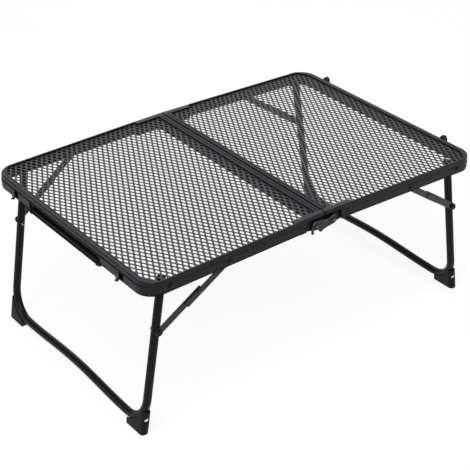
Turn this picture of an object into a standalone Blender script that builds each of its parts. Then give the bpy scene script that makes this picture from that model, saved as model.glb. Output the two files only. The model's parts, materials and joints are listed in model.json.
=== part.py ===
"""Folding camp table: two hinged mesh-topped halves on folding U legs with two-link braces.

Lengths are in millimetres until metres() turns them, and angles are in degrees.
World frame: +X along the length, +Y to the back, +Z up, the feet on z = 0.
A half has its own frame: its origin is on the hinge line at the top of the rim, x runs
from the centre outwards (times the half's side, -1 left and +1 right) and z is up.
"""

import math

import bmesh
import bpy
from mathutils import Matrix, Vector

# Table top
TABLE_LENGTH = 600.0
TABLE_WIDTH = 400.0
TABLE_HEIGHT = 256.0
CAMBER = 1.2
RAIL_WIDTH = 10.0
RAIL_HEIGHT = 21.5
CORNER_RADIUS = 27.0
RIM_HEIGHT = 6.5
GROOVE_DEPTH = 0.9
GROOVE_HEIGHT = 1.2
EDGE_ROUND = 2.0
GAP = 0.3

# Mesh panel
MESH_DEPTH = 2.6
MESH_THICKNESS = 1.2
MESH_BORDER = 4.0
CELL_LENGTH = 34.0
CELL_WIDTH = 46.0
STRAND_WIDTH = 6.0

# Centre hinge
HINGE_PIN_SPACING = 30.5
HINGE_PIN_ABOVE_RAIL_BOTTOM = 4.4
HINGE_PIN_RADIUS = 2.2
HINGE_HEAD_RADIUS = 3.6
HINGE_HEAD_HEIGHT = 1.8
CENTRE_GAP = 0.8
HINGE_RECESS_DEPTH = 5.0
HINGE_BRACKET_END = 45.6
HINGE_BLOCK_START = 29.0
HINGE_BRACKET_THICKNESS = 2.0
HINGE_BOSS_RADIUS = 7.0
HINGE_LINK_THICKNESS = 3.2
HINGE_LINK_DROP = 10.0
HINGE_PEG_RADIUS = 1.5
HINGE_PEG_LENGTH = 5.0

# Legs
LEG_TUBE_DIAMETER = 12.0
LEG_BEND_RADIUS = 42.0
LEG_INSIDE_RAIL = 5.2
LEG_PIVOT_FROM_END = 37.0
LEG_PIVOT_DEPTH = 13.0
LEG_TOP_END = 3.6
LEG_SPLAY = 9.1
LEG_FOLDED_DROP = 0.9
LEG_STAND = 12.5
LEG_BAR_ARCH = 5.5
LEG_PLUG_HEIGHT = 1.4
PLUG_CUP_DEPTH = 0.9

# Braces
BRACE_PIVOT_SPACING = 96.5
BRACE_RAIL_PIVOT_DEPTH = 14.2
BRACE_LEG_PIVOT_DOWN = 76.0
CHANNEL_START = 54.0
CHANNEL_BEFORE_LEG = 13.0
CHANNEL_TOP = 6.6
RAIL_WALL = 2.2
LINK_THICKNESS = 1.6
LINK_LEAN_ROOM = 0.4
UPPER_LINK_WIDTH = 9.0
LOWER_LINK_WIDTH = 9.5
KNEE_WIDTH = 13.5
KNEE_TAIL = 16.0
LINK_HOLE_RADIUS = 2.3

# Feet
FOOT_WIDTH = 13.6
FOOT_LENGTH = 39.0
FOOT_HEIGHT = 37.0
FOOT_SADDLE = 3.0
FOOT_CORNER_RADIUS = 4.0
FOOT_RIVET_HEIGHT = 23.0
FOOT_RIVET_RECESS = 3.2
FOOT_RIVET_LENGTH = 11.0
FOOT_EDGE = 0.8

# Rivets
RIVET_RADIUS = 2.0
RIVET_HEAD_RADIUS = 4.0
RIVET_HEAD_HEIGHT = 1.4
SPACER_RADIUS = 5.0
KNEE_RIVET_HEAD_HEIGHT = 0.8
BOLT_HEAD_RADIUS = 4.6
BOLT_HEAD_HEIGHT = 2.4

# Handle
HANDLE_LENGTH = 186.0
HANDLE_OFFSET = 4.5
HANDLE_THICKNESS = 6.0
HANDLE_BAR_HEIGHT = 7.0
HANDLE_PIVOT_DEPTH = 12.5
HANDLE_REACH = 11.5
HANDLE_LUG_LENGTH = 11.0
HANDLE_PROUD = 2.0
HANDLE_EDGE = 0.8
HANDLE_TRUNNION_RADIUS = 1.8
HANDLE_TRUNNION_LENGTH = 4.0
HANDLE_LUG_COVER = 1.0
HANDLE_RECESS_DEPTH = 7.4

# Latches on the right end rail and their catches on the left
LATCH_FROM_SIDE = 62.0
LATCH_OFFSET = 9.0
LATCH_PIVOT_DEPTH = 10.8
LATCH_THICKNESS = 1.6
LATCH_WIDTH = 9.0
LATCH_TAB_LENGTH = 17.0
LATCH_TAB_REACH = 8.0
LATCH_HOOK_LENGTH = 3.0
CATCH_PLATE_WIDTH = 7.0
CATCH_PLATE_THICKNESS = 1.5
CATCH_STUD_RADIUS = 2.0
CATCH_STUD_REACH = 3.0
CATCH_STUD_DEPTH = 24.0
CATCH_SLOT_WIDTH = 8.0
CATCH_SLOT_HEIGHT = 10.0
CATCH_SLOT_DEPTH = 3.0

ARC_STEP = 18.0
ROUND_STEPS = 16

# Worked out from the sizes above
HALF_LENGTH = TABLE_LENGTH / 2
HALF_WIDTH = TABLE_WIDTH / 2
LEG_PIVOT_OUT = HALF_LENGTH - LEG_PIVOT_FROM_END
BRACE_RAIL_PIVOT_OUT = LEG_PIVOT_OUT - BRACE_PIVOT_SPACING
CHANNEL_END = LEG_PIVOT_OUT - CHANNEL_BEFORE_LEG
LATCH_SPACING = TABLE_WIDTH - 2 * LATCH_FROM_SIDE
RAIL_INSIDE = HALF_WIDTH - RAIL_WIDTH
MESH_TOP = -MESH_DEPTH
RIM_BOTTOM = -RIM_HEIGHT - GROOVE_HEIGHT
HINGE_PIN_OUT = HINGE_PIN_SPACING / 2
HINGE_PIN_DEPTH = RAIL_HEIGHT - HINGE_PIN_ABOVE_RAIL_BOTTOM
HINGE_RECESS_TOP = RIM_BOTTOM - 1.0
FOLD_OF_HALF = 90.0 - CAMBER
LEG_RADIUS = LEG_TUBE_DIAMETER / 2
LEG_Y = RAIL_INSIDE - LEG_INSIDE_RAIL - LEG_RADIUS
LOWER_LINK_Y = LEG_Y + LEG_RADIUS + GAP + LINK_LEAN_ROOM + LINK_THICKNESS / 2
UPPER_LINK_Y = HALF_WIDTH - RAIL_WALL - GAP - LINK_LEAN_ROOM - LINK_THICKNESS / 2
SPLAY_IN_HALF = LEG_SPLAY + CAMBER
LEG_FOLD = SPLAY_IN_HALF + 90.0 - LEG_FOLDED_DROP
CLOSED_GAP = HINGE_PIN_SPACING - 2 * HINGE_PIN_ABOVE_RAIL_BOTTOM
LATCH_LENGTH = RAIL_HEIGHT - LATCH_PIVOT_DEPTH + CLOSED_GAP - (CATCH_STUD_DEPTH - RAIL_HEIGHT)

BLACK_STEEL = ("powder_coated_steel", (0.028, 0.029, 0.032), 0.45, 0.6)
DARK_STEEL = ("painted_steel_links", (0.035, 0.036, 0.04), 0.4, 0.7)
MESH_STEEL = ("coated_mesh", (0.06, 0.062, 0.066), 0.5, 0.6)
BLACK_PLASTIC = ("moulded_black_plastic", (0.02, 0.02, 0.022), 0.55, 0.0)
BRIGHT_STEEL = ("zinc_plated_rivet", (0.62, 0.63, 0.65), 0.3, 1.0)

PLATE_ACROSS_Y = (math.radians(90), 0.0, 0.0)
PLATE_ACROSS_X = (math.radians(90), 0.0, math.radians(90))


def metres(*lengths):
    """Millimetres to metres, one length or several."""
    scaled = tuple(length * 0.001 for length in lengths)
    return scaled[0] if len(scaled) == 1 else scaled


def turned_by(x, z, degrees):
    """A point of the x-z plane turned from +x towards +z."""
    angle = math.radians(degrees)
    return (
        x * math.cos(angle) - z * math.sin(angle),
        x * math.sin(angle) + z * math.cos(angle),
    )


def arc(centre_x, centre_y, radius, start, end):
    """Points on an arc from start to end degrees, both ends included."""
    steps = max(2, math.ceil(abs(end - start) / ARC_STEP))
    return [
        (
            centre_x + radius * math.cos(math.radians(start + (end - start) * i / steps)),
            centre_y + radius * math.sin(math.radians(start + (end - start) * i / steps)),
        )
        for i in range(steps + 1)
    ]


def circle(centre_x, centre_y, radius):
    """Points round a hole, the last not repeated."""
    return arc(centre_x, centre_y, radius, 0, 360)[:-1]


def clear_scene():
    for old in list(bpy.data.objects):
        bpy.data.objects.remove(old)


def collection_named(name, hidden=False):
    collection = bpy.data.collections.new(name)
    bpy.context.scene.collection.children.link(collection)
    collection.hide_render = hidden
    return collection


def material_for(node_name, finish):
    """A Principled material of the node's own, in one of the table's finishes."""
    finish_name, colour, roughness, metallic = finish
    material = bpy.data.materials.new(node_name + "_" + finish_name)
    material.use_nodes = True
    shader = material.node_tree.nodes["Principled BSDF"]
    shader.inputs["Base Color"].default_value = (*colour, 1.0)
    shader.inputs["Roughness"].default_value = roughness
    shader.inputs["Metallic"].default_value = metallic
    return material


def add_empty(name, parent, location, rotation=(0.0, 0.0, 0.0)):
    empty = bpy.data.objects.new(name, None)
    PARTS.objects.link(empty)
    empty.parent = parent
    empty.location = metres(*location)
    empty.rotation_euler = rotation
    empty.empty_display_size = 0.01
    return empty


def add_object(name, data, parent, finish, location=(0, 0, 0), rotation=(0, 0, 0)):
    """A part's object with its own material, or a cutter's when finish is None."""
    thing = bpy.data.objects.new(name, data)
    thing.parent = parent
    thing.location = metres(*location)
    thing.rotation_euler = rotation
    if finish is None:
        CUTTERS.objects.link(thing)
        thing.hide_render = True
        thing.display_type = "WIRE"
    else:
        PARTS.objects.link(thing)
        data.materials.append(material_for(name, finish))
    return thing


def box_mesh(name, low, high):
    """A box between two corners, in the frame of its parent."""
    box = bmesh.new()
    bmesh.ops.create_cube(box, size=1.0)
    size = [metres(b - a) for a, b in zip(low, high)]
    middle = [metres((a + b) / 2) for a, b in zip(low, high)]
    bmesh.ops.scale(box, vec=size, verts=box.verts)
    bmesh.ops.translate(box, vec=middle, verts=box.verts)
    mesh = bpy.data.meshes.new(name)
    box.to_mesh(mesh)
    box.free()
    return mesh


def add_box(name, parent, finish, low, high):
    low, high = zip(*[sorted(pair) for pair in zip(low, high)])
    return add_object(name, box_mesh(name, low, high), parent, finish)


def cylinder_mesh(name, start, end, radius):
    """A cylinder between two points, in the frame of its parent."""
    start, end = Vector(metres(*start)), Vector(metres(*end))
    run = end - start
    rod = bmesh.new()
    turn = run.to_track_quat("Z", "Y").to_matrix().to_4x4()
    bmesh.ops.create_cone(
        rod,
        cap_ends=True,
        segments=ROUND_STEPS,
        radius1=metres(radius),
        radius2=metres(radius),
        depth=run.length,
        matrix=Matrix.Translation((start + end) / 2) @ turn,
    )
    mesh = bpy.data.meshes.new(name)
    rod.to_mesh(mesh)
    rod.free()
    return mesh


def add_cylinder(name, parent, finish, start, end, radius):
    return add_object(name, cylinder_mesh(name, start, end, radius), parent, finish)


def add_plate(name, parent, finish, loops, thickness, location, rotation):
    """A flat outline with any holes, as a filled 2D curve with half the thickness each way."""
    curve = bpy.data.curves.new(name, "CURVE")
    curve.dimensions = "2D"
    curve.fill_mode = "BOTH"
    curve.extrude = metres(thickness) / 2
    for loop in loops:
        spline = curve.splines.new("POLY")
        spline.points.add(len(loop) - 1)
        for point, (x, y) in zip(spline.points, loop):
            point.co = (*metres(x, y), 0.0, 1.0)
        spline.use_cyclic_u = True
    return add_object(name, curve, parent, finish, location, rotation)


def add_tube(name, parent, finish, points, radius):
    """A round bar along a route of points."""
    curve = bpy.data.curves.new(name, "CURVE")
    curve.dimensions = "3D"
    curve.bevel_depth = metres(radius)
    curve.bevel_resolution = 3
    curve.use_fill_caps = True
    spline = curve.splines.new("POLY")
    spline.points.add(len(points) - 1)
    for point, place in zip(spline.points, points):
        point.co = (*metres(*place), 1.0)
    return add_object(name, curve, parent, finish)


def add_turned(name, parent, finish, profile, location, rotation=(0, 0, 0)):
    """A turned piece: a profile of (radius, height) from the top down, swept about z."""
    mesh = bpy.data.meshes.new(name)
    points = [(metres(radius), 0.0, metres(height)) for radius, height in profile]
    mesh.from_pydata(points, [(i, i + 1) for i in range(len(points) - 1)], [])
    thing = add_object(name, mesh, parent, finish, location, rotation)
    screw = thing.modifiers.new("turn", "SCREW")
    screw.angle = math.tau
    screw.steps = ROUND_STEPS
    screw.render_steps = ROUND_STEPS
    screw.use_merge_vertices = True
    screw.merge_threshold = 0.0001
    return thing


def as_mesh(thing):
    """A curve object made into a mesh object with welded caps, under the same name."""
    bpy.context.view_layer.update()
    graph = bpy.context.evaluated_depsgraph_get()
    mesh = bpy.data.meshes.new_from_object(thing.evaluated_get(graph))
    welded = bmesh.new()
    welded.from_mesh(mesh)
    bmesh.ops.remove_doubles(welded, verts=welded.verts, dist=0.00001)
    bmesh.ops.recalc_face_normals(welded, faces=welded.faces)
    welded.to_mesh(mesh)
    welded.free()
    name, parent = thing.name, thing.parent
    location, rotation = thing.location.copy(), thing.rotation_euler.copy()
    cutter = thing.hide_render
    bpy.data.objects.remove(thing)
    solid = bpy.data.objects.new(name, mesh)
    solid.parent = parent
    solid.location = location
    solid.rotation_euler = rotation
    (CUTTERS if cutter else PARTS).objects.link(solid)
    solid.hide_render = cutter
    solid.display_type = "WIRE" if cutter else "TEXTURED"
    return solid


def combine(thing, others, operation):
    """Cuts the others out of a thing, or joins them to it, with exact Booleans."""
    for other in others:
        boolean = thing.modifiers.new(other.name, "BOOLEAN")
        boolean.operation = operation
        boolean.solver = "EXACT"
        boolean.object = other


def soften(thing, width, segments=1):
    """Rounds a solid's sharp edges."""
    bevel = thing.modifiers.new("rounded edges", "BEVEL")
    bevel.width = metres(width)
    bevel.segments = segments
    bevel.limit_method = "ANGLE"
    bevel.angle_limit = math.radians(50)
    bevel.use_clamp_overlap = True


def both_ends(make):
    """Calls make with the front (-1) and the back (+1) of a half."""
    for end_name, end in (("front", -1), ("back", 1)):
        make(end_name, end)


def rail_section():
    """The rail's cross-section: x outwards from the rail's middle, y up from half its height."""
    half_width, half_height = RAIL_WIDTH / 2, RAIL_HEIGHT / 2
    groove_top = half_height - RIM_HEIGHT
    groove_bottom = groove_top - GROOVE_HEIGHT
    outer = [
        (half_width, -half_height + 0.6),
        (half_width, groove_bottom),
        (half_width - GROOVE_DEPTH, groove_bottom + 0.3),
        (half_width - GROOVE_DEPTH, groove_top - 0.3),
        (half_width, groove_top),
    ]
    outer += arc(half_width - EDGE_ROUND, half_height - EDGE_ROUND, EDGE_ROUND, 0, 90)[::2]
    inner = arc(-half_width + EDGE_ROUND, half_height - EDGE_ROUND, EDGE_ROUND, 90, 180)[::2]
    return outer + inner + [
        (-half_width, -half_height + 0.6),
        (-half_width + 0.6, -half_height),
        (half_width - 0.6, -half_height),
    ]


def half_rail_path(side):
    """The rail's centre line from one near end to the other, anticlockwise seen from above."""
    near = CENTRE_GAP
    far = HALF_LENGTH - RAIL_WIDTH / 2
    wide = HALF_WIDTH - RAIL_WIDTH / 2
    radius = CORNER_RADIUS - RAIL_WIDTH / 2
    left = [(-near, wide)]
    left += arc(-far + radius, wide - radius, radius, 90, 180)
    left += arc(-far + radius, -wide + radius, radius, 180, 270)
    left += [(-near, -wide)]
    return [(-side * x, -side * y) for x, y in left]


def make_frame(side, half_name, half):
    """One bent rail round three sides of a half, with its recesses and rivet holes."""
    section = add_plate(
        half_name + "_rail_section", half, None, [rail_section()], 0, (0, 0, 0), (0, 0, 0)
    )
    section.data.fill_mode = "NONE"
    curve = bpy.data.curves.new(half_name + "_frame", "CURVE")
    curve.dimensions = "2D"
    curve.fill_mode = "NONE"
    curve.bevel_mode = "OBJECT"
    curve.bevel_object = section
    curve.use_fill_caps = True
    spline = curve.splines.new("POLY")
    path = half_rail_path(side)
    spline.points.add(len(path) - 1)
    for point, (x, y) in zip(spline.points, path):
        point.co = (*metres(x, y), 0.0, 1.0)
    frame = add_object(
        half_name + "_frame", curve, half, BLACK_STEEL, (0, 0, -RAIL_HEIGHT / 2)
    )
    frame = as_mesh(frame)
    cutters = []

    def cut_front_or_back(end_name, end):
        near_name = end_name + "_" + half_name
        cutters.append(
            add_box(
                near_name + "_hinge_recess",
                half,
                None,
                (side * -1, end * (HALF_WIDTH - HINGE_RECESS_DEPTH), -RAIL_HEIGHT - 1),
                (
                    side * (HINGE_BRACKET_END + GAP),
                    end * (HALF_WIDTH + 1),
                    HINGE_RECESS_TOP,
                ),
            )
        )
        cutters.append(
            add_box(
                near_name + "_brace_channel",
                half,
                None,
                (side * CHANNEL_START, end * (RAIL_INSIDE - 1), -RAIL_HEIGHT - 1),
                (side * CHANNEL_END, end * (HALF_WIDTH - RAIL_WALL), -CHANNEL_TOP),
            )
        )
        holes = (
            ("leg_rivet_hole", LEG_PIVOT_OUT, LEG_PIVOT_DEPTH, RIVET_RADIUS),
            ("brace_rivet_hole", BRACE_RAIL_PIVOT_OUT, BRACE_RAIL_PIVOT_DEPTH, RIVET_RADIUS),
            ("hinge_pin_hole", HINGE_PIN_OUT, HINGE_PIN_DEPTH, HINGE_PIN_RADIUS),
        )
        for hole_name, out, depth, radius in holes:
            cutters.append(
                add_cylinder(
                    near_name + "_" + hole_name,
                    half,
                    None,
                    (side * out, end * (RAIL_INSIDE - 1), -depth),
                    (side * out, end * (HALF_WIDTH + 1), -depth),
                    radius + GAP,
                )
            )

    both_ends(cut_front_or_back)
    if side < 0:
        cutters += handle_cutters(half) + catch_cutters(half)
    else:
        cutters += latch_cutters(half)
    combine(frame, cutters, "DIFFERENCE")
    return frame


def make_centre_rail(side, half_name, half):
    """The straight rail across the middle of the table, with its rim edges rounded."""
    rail = add_box(
        half_name + "_centre_rail",
        half,
        BLACK_STEEL,
        (side * CENTRE_GAP, -RAIL_INSIDE + GAP, -RAIL_HEIGHT),
        (side * (CENTRE_GAP + RAIL_WIDTH), RAIL_INSIDE - GAP, 0),
    )
    soften(rail, 1.2, 2)
    return rail


def panel_outline(side, inset):
    """The opening inside a half's rails, drawn in by inset, with its outer corners rounded."""
    near = CENTRE_GAP + RAIL_WIDTH + inset
    far = HALF_LENGTH - RAIL_WIDTH - inset
    wide = RAIL_INSIDE - inset
    radius = max(1.0, CORNER_RADIUS - RAIL_WIDTH - inset)
    points = [(near, -wide)]
    points += arc(far - radius, -wide + radius, radius, -90, 0)
    points += arc(far - radius, wide - radius, radius, 0, 90)
    points += [(near, wide)]
    return [(side * x, y) for x, y in points]


def diamond_centres():
    """Centres of the net's whole gaps: two staggered grids inside the border."""
    near = CENTRE_GAP + RAIL_WIDTH + GAP + MESH_BORDER
    far = HALF_LENGTH - RAIL_WIDTH - GAP - MESH_BORDER
    wide = RAIL_INSIDE - GAP - MESH_BORDER
    columns = int((far - near) // CELL_LENGTH)
    rows = int(2 * wide // CELL_WIDTH)
    middle = (near + far) / 2
    centres = []
    for shift in (0, 1):
        for i in range(columns - shift):
            for j in range(rows - shift):
                x = middle + (i - (columns - shift - 1) / 2) * CELL_LENGTH
                y = (j - (rows - shift - 1) / 2) * CELL_WIDTH
                centres.append((x, y))
    return centres


def make_mesh_panel(side, half_name, half):
    """A flat net of diamond gaps, coarser than the real expanded mesh."""
    half_length = CELL_LENGTH / 2
    half_width = CELL_WIDTH / 2
    slope = math.hypot(half_length, half_width)
    inset_length = STRAND_WIDTH / 2 * slope / half_width
    inset_width = STRAND_WIDTH / 2 * slope / half_length
    reach_x, reach_y = half_length - inset_length, half_width - inset_width
    loops = [panel_outline(side, GAP)]
    for x, y in diamond_centres():
        loops.append(
            [
                (side * (x - reach_x), y),
                (side * x, y - reach_y),
                (side * (x + reach_x), y),
                (side * x, y + reach_y),
            ]
        )
    return add_plate(
        half_name + "_mesh",
        half,
        MESH_STEEL,
        loops,
        MESH_THICKNESS,
        (0, 0, MESH_TOP - MESH_THICKNESS / 2),
        (0, 0, 0),
    )


def make_hinge_side(side, half_name, half):
    """The two hinge brackets of a half and the pins that they carry."""
    web = HALF_WIDTH - HINGE_RECESS_DEPTH
    plate_y = web + GAP + HINGE_BRACKET_THICKNESS / 2
    link_y = plate_y + HINGE_BRACKET_THICKNESS / 2 + GAP + HINGE_LINK_THICKNESS / 2
    head = link_y + HINGE_LINK_THICKNESS / 2 + GAP
    bottom = -RAIL_HEIGHT

    def bracket_and_pin(end_name, end):
        name = end_name + "_" + half_name + "_hinge_bracket"
        top = HINGE_RECESS_TOP - GAP
        start = HINGE_PIN_OUT - HINGE_BOSS_RADIUS + 0.5
        corner = HINGE_BOSS_RADIUS - 0.5
        outline = arc(HINGE_PIN_OUT, -HINGE_PIN_DEPTH, corner, 180, 90)
        outline += [(HINGE_PIN_OUT + 2, top), (HINGE_BRACKET_END, top)]
        outline += [(HINGE_BRACKET_END, bottom), (HINGE_BLOCK_START + 4, bottom)]
        outline += [(HINGE_PIN_OUT + corner, bottom - 2.6)]
        outline += arc(HINGE_PIN_OUT, -HINGE_PIN_DEPTH, corner, 270, 180)[:-1]
        outline = [(max(x, start), z) for x, z in outline]
        bracket = add_plate(
            name,
            half,
            DARK_STEEL,
            [
                [(side * x, z) for x, z in outline],
                circle(side * HINGE_PIN_OUT, -HINGE_PIN_DEPTH, HINGE_PIN_RADIUS + GAP),
            ],
            HINGE_BRACKET_THICKNESS,
            (0, end * plate_y, 0),
            PLATE_ACROSS_Y,
        )
        bracket = as_mesh(bracket)
        block = add_box(
            name + "_block",
            half,
            None,
            (side * HINGE_BLOCK_START, end * (web + GAP), bottom),
            (side * HINGE_BRACKET_END, end * HALF_WIDTH, top),
        )
        combine(bracket, [block], "UNION")
        add_turned(
            end_name + "_" + half_name + "_hinge_pin",
            half,
            BRIGHT_STEEL,
            [
                (0, HINGE_HEAD_HEIGHT),
                (HINGE_HEAD_RADIUS * 0.6, HINGE_HEAD_HEIGHT),
                (HINGE_HEAD_RADIUS, HINGE_HEAD_HEIGHT * 0.45),
                (HINGE_HEAD_RADIUS, 0),
                (HINGE_PIN_RADIUS, 0),
                (HINGE_PIN_RADIUS, RAIL_INSIDE - head + GAP),
                (0, RAIL_INSIDE - head + GAP),
            ],
            (side * HINGE_PIN_OUT, end * head, -HINGE_PIN_DEPTH),
            (math.radians(-90 * end), 0, 0),
        )

    both_ends(bracket_and_pin)


def make_hinge_links(hinge):
    """The front and back hinge plates, each turning on one pin of either half."""
    link_y = (
        HALF_WIDTH
        - HINGE_RECESS_DEPTH
        + 2 * GAP
        + HINGE_BRACKET_THICKNESS
        + HINGE_LINK_THICKNESS / 2
    )
    half_spacing = HINGE_PIN_SPACING / 2
    foot = -HINGE_LINK_DROP

    def link(end_name, end):
        outline = arc(-half_spacing, 0, HINGE_BOSS_RADIUS, 90, 225)
        outline += [(-half_spacing * 0.35, foot), (half_spacing * 0.1, foot - 1.5)]
        outline += arc(half_spacing, 0, HINGE_BOSS_RADIUS, -70, 90)
        outline += [(half_spacing * 0.45, HINGE_BOSS_RADIUS - 3.4)]
        outline += [(-half_spacing * 0.05, HINGE_BOSS_RADIUS - 3.0)]
        outline += [(-half_spacing * 0.3, HINGE_BOSS_RADIUS)]
        plate = add_plate(
            end_name + "_hinge_link",
            hinge,
            DARK_STEEL,
            [
                outline,
                circle(-half_spacing, 0, HINGE_PIN_RADIUS + GAP),
                circle(half_spacing, 0, HINGE_PIN_RADIUS + GAP),
            ],
            HINGE_LINK_THICKNESS,
            (0, end * link_y, 0),
            PLATE_ACROSS_Y,
        )
        plate = as_mesh(plate)
        peg_x = -half_spacing - HINGE_BOSS_RADIUS * 0.5
        peg_top = -HINGE_BOSS_RADIUS * 0.5
        peg = add_cylinder(
            end_name + "_hinge_peg",
            hinge,
            None,
            (peg_x, end * link_y, peg_top),
            (peg_x, end * link_y, peg_top - HINGE_BOSS_RADIUS * 0.4 - HINGE_PEG_LENGTH),
            HINGE_PEG_RADIUS,
        )
        combine(plate, [peg], "UNION")

    both_ends(link)


def leg_sole_drop():
    """Distance from the leg's pivot to the floor along the leg."""
    out, depth = LEG_PIVOT_OUT - HINGE_PIN_OUT, HINGE_PIN_DEPTH - LEG_PIVOT_DEPTH
    _, rise = turned_by(out, depth, -CAMBER)
    height = TABLE_HEIGHT - HINGE_PIN_DEPTH + rise
    return height / math.cos(math.radians(LEG_SPLAY))


def leg_route():
    """The leg tube's centre line: down one side, along the arched bar and up the other."""
    low = -leg_sole_drop() + LEG_STAND
    corner_y = LEG_Y - LEG_BEND_RADIUS
    corner_z = low + LEG_BEND_RADIUS
    side = [(LEG_Y, LEG_TOP_END)] + arc(corner_y, corner_z, LEG_BEND_RADIUS, 0, -90)
    steps = 8
    bar = []
    for i in range(1, steps):
        rise = (1 - math.cos(math.tau * i / steps)) / 2 * LEG_BAR_ARCH
        bar.append((corner_y * (1 - 2 * i / steps), low + rise))
    other = [(-y, z) for y, z in reversed(side)]
    return [(0, y, z) for y, z in side + bar + other]


def make_leg(side, half_name, leg):
    """A U-shaped leg tube with its end plugs, feet and rivets."""
    sole = -leg_sole_drop()
    tube = add_tube(half_name + "_leg_tube", leg, BLACK_STEEL, leg_route(), LEG_RADIUS)
    tube = as_mesh(tube)
    bare_route = add_tube(
        half_name + "_foot_socket", leg, None, leg_route(), LEG_RADIUS + GAP
    )
    socket = as_mesh(bare_route)
    floor_cut = add_box(
        half_name + "_floor_cut",
        leg,
        None,
        (-60, -HALF_WIDTH, sole - 60),
        (60, HALF_WIDTH, sole),
    )
    floor_cut.rotation_euler = (0, side * math.radians(LEG_SPLAY), 0)
    for vertex in floor_cut.data.vertices:
        vertex.co.z -= metres(sole)
    floor_cut.location = metres(0, 0, sole)
    cutters = []

    def one_end(end_name, end):
        name = end_name + "_" + half_name
        outer = LEG_Y + LEG_RADIUS
        for hole_name, down in (("leg_pivot_hole", 0.0), ("brace_hole", BRACE_LEG_PIVOT_DOWN)):
            cutters.append(
                add_cylinder(
                    name + "_" + hole_name,
                    leg,
                    None,
                    (0, end * (LEG_Y - LEG_RADIUS - 2), -down),
                    (0, end * (LEG_Y + LEG_RADIUS + 2), -down),
                    RIVET_RADIUS + GAP,
                )
            )
        rivet_z = sole + FOOT_RIVET_HEIGHT
        seat = outer - FOOT_RIVET_RECESS
        rivet_hole = add_cylinder(
            name + "_foot_rivet_hole",
            leg,
            None,
            (0, end * (seat - FOOT_RIVET_LENGTH - 1), rivet_z),
            (0, end * (outer + 2), rivet_z),
            RIVET_RADIUS + GAP,
        )
        cutters.append(rivet_hole)
        rivet_recess = add_cylinder(
            name + "_foot_rivet_recess",
            leg,
            None,
            (0, end * seat, rivet_z),
            (0, end * (outer + 2), rivet_z),
            RIVET_HEAD_RADIUS + GAP,
        )
        add_turned(
            name + "_leg_plug",
            leg,
            BLACK_PLASTIC,
            [
                (0, LEG_PLUG_HEIGHT - PLUG_CUP_DEPTH),
                (LEG_RADIUS * 0.5, LEG_PLUG_HEIGHT - PLUG_CUP_DEPTH),
                (LEG_RADIUS * 0.62, LEG_PLUG_HEIGHT),
                (LEG_RADIUS * 0.8, LEG_PLUG_HEIGHT),
                (LEG_RADIUS * 0.94, LEG_PLUG_HEIGHT * 0.5),
                (LEG_RADIUS * 0.94, 0),
                (0, 0),
            ],
            (0, end * LEG_Y, LEG_TOP_END + GAP),
        )
        top, inner = sole + FOOT_HEIGHT, outer - FOOT_LENGTH
        bend_y, bend_z = LEG_Y - LEG_BEND_RADIUS, sole + LEG_STAND + LEG_BEND_RADIUS
        saddle = LEG_BEND_RADIUS + LEG_RADIUS - FOOT_SADDLE
        toe = -math.degrees(math.acos((inner - bend_y) / saddle))
        brow = -math.degrees(math.asin((bend_z - top) / saddle))
        corner = FOOT_CORNER_RADIUS
        outline = arc(outer - corner, sole + corner - 3, corner, 0, -90)
        outline += [(inner, sole - 3)]
        outline += arc(bend_y, bend_z, saddle, toe, brow)
        outline += [(outer, top)]
        foot = add_plate(
            name + "_foot",
            leg,
            BLACK_PLASTIC,
            [[(end * y, z) for y, z in outline]],
            FOOT_WIDTH,
            (0, 0, 0),
            PLATE_ACROSS_X,
        )
        foot = as_mesh(foot)
        soften(foot, FOOT_EDGE)
        round_end = FOOT_WIDTH / 2
        plan = arc(0, end * (outer - round_end), round_end, 0, end * 180)
        plan += [(-round_end - 1, end * (inner - 5)), (round_end + 1, end * (inner - 5))]
        plan_shape = add_plate(
            name + "_foot_plan",
            leg,
            None,
            [plan],
            2 * FOOT_HEIGHT,
            (0, 0, sole + FOOT_HEIGHT / 2),
            (0, 0, 0),
        )
        combine(foot, [as_mesh(plan_shape)], "INTERSECT")
        combine(foot, [socket, rivet_hole, rivet_recess, floor_cut], "DIFFERENCE")
        add_turned(
            name + "_foot_rivet",
            leg,
            BRIGHT_STEEL,
            rivet_profile(FOOT_RIVET_LENGTH, RIVET_HEAD_RADIUS - GAP, RIVET_HEAD_HEIGHT),
            (0, end * (seat + GAP), rivet_z),
            (math.radians(-90 * end), 0, 0),
        )
        bolt_outer = LOWER_LINK_Y + LINK_THICKNESS / 2 + GAP + LINK_LEAN_ROOM
        bolt_inner = LEG_Y - LEG_RADIUS - GAP
        add_turned(
            name + "_brace_bolt",
            leg,
            BRIGHT_STEEL,
            [
                (0, BOLT_HEAD_HEIGHT),
                (BOLT_HEAD_RADIUS * 0.7, BOLT_HEAD_HEIGHT),
                (BOLT_HEAD_RADIUS, BOLT_HEAD_HEIGHT * 0.6),
                (BOLT_HEAD_RADIUS, 0),
                (RIVET_RADIUS, 0),
                (RIVET_RADIUS, bolt_inner - bolt_outer),
                (RIVET_HEAD_RADIUS, bolt_inner - bolt_outer),
                (RIVET_HEAD_RADIUS * 0.7, bolt_inner - bolt_outer - RIVET_HEAD_HEIGHT),
                (0, bolt_inner - bolt_outer - RIVET_HEAD_HEIGHT),
            ],
            (0, end * bolt_outer, -BRACE_LEG_PIVOT_DOWN),
            (math.radians(-90 * end), 0, 0),
        )

    both_ends(one_end)
    combine(tube, cutters, "DIFFERENCE")


def rivet_profile(length, head_radius, head_height):
    """A domed rivet, its head above zero and its shank below."""
    return [
        (0, head_height),
        (head_radius * 0.55, head_height),
        (head_radius, head_height * 0.4),
        (head_radius, 0),
        (RIVET_RADIUS, 0),
        (RIVET_RADIUS, -length),
        (0, -length),
    ]


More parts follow.
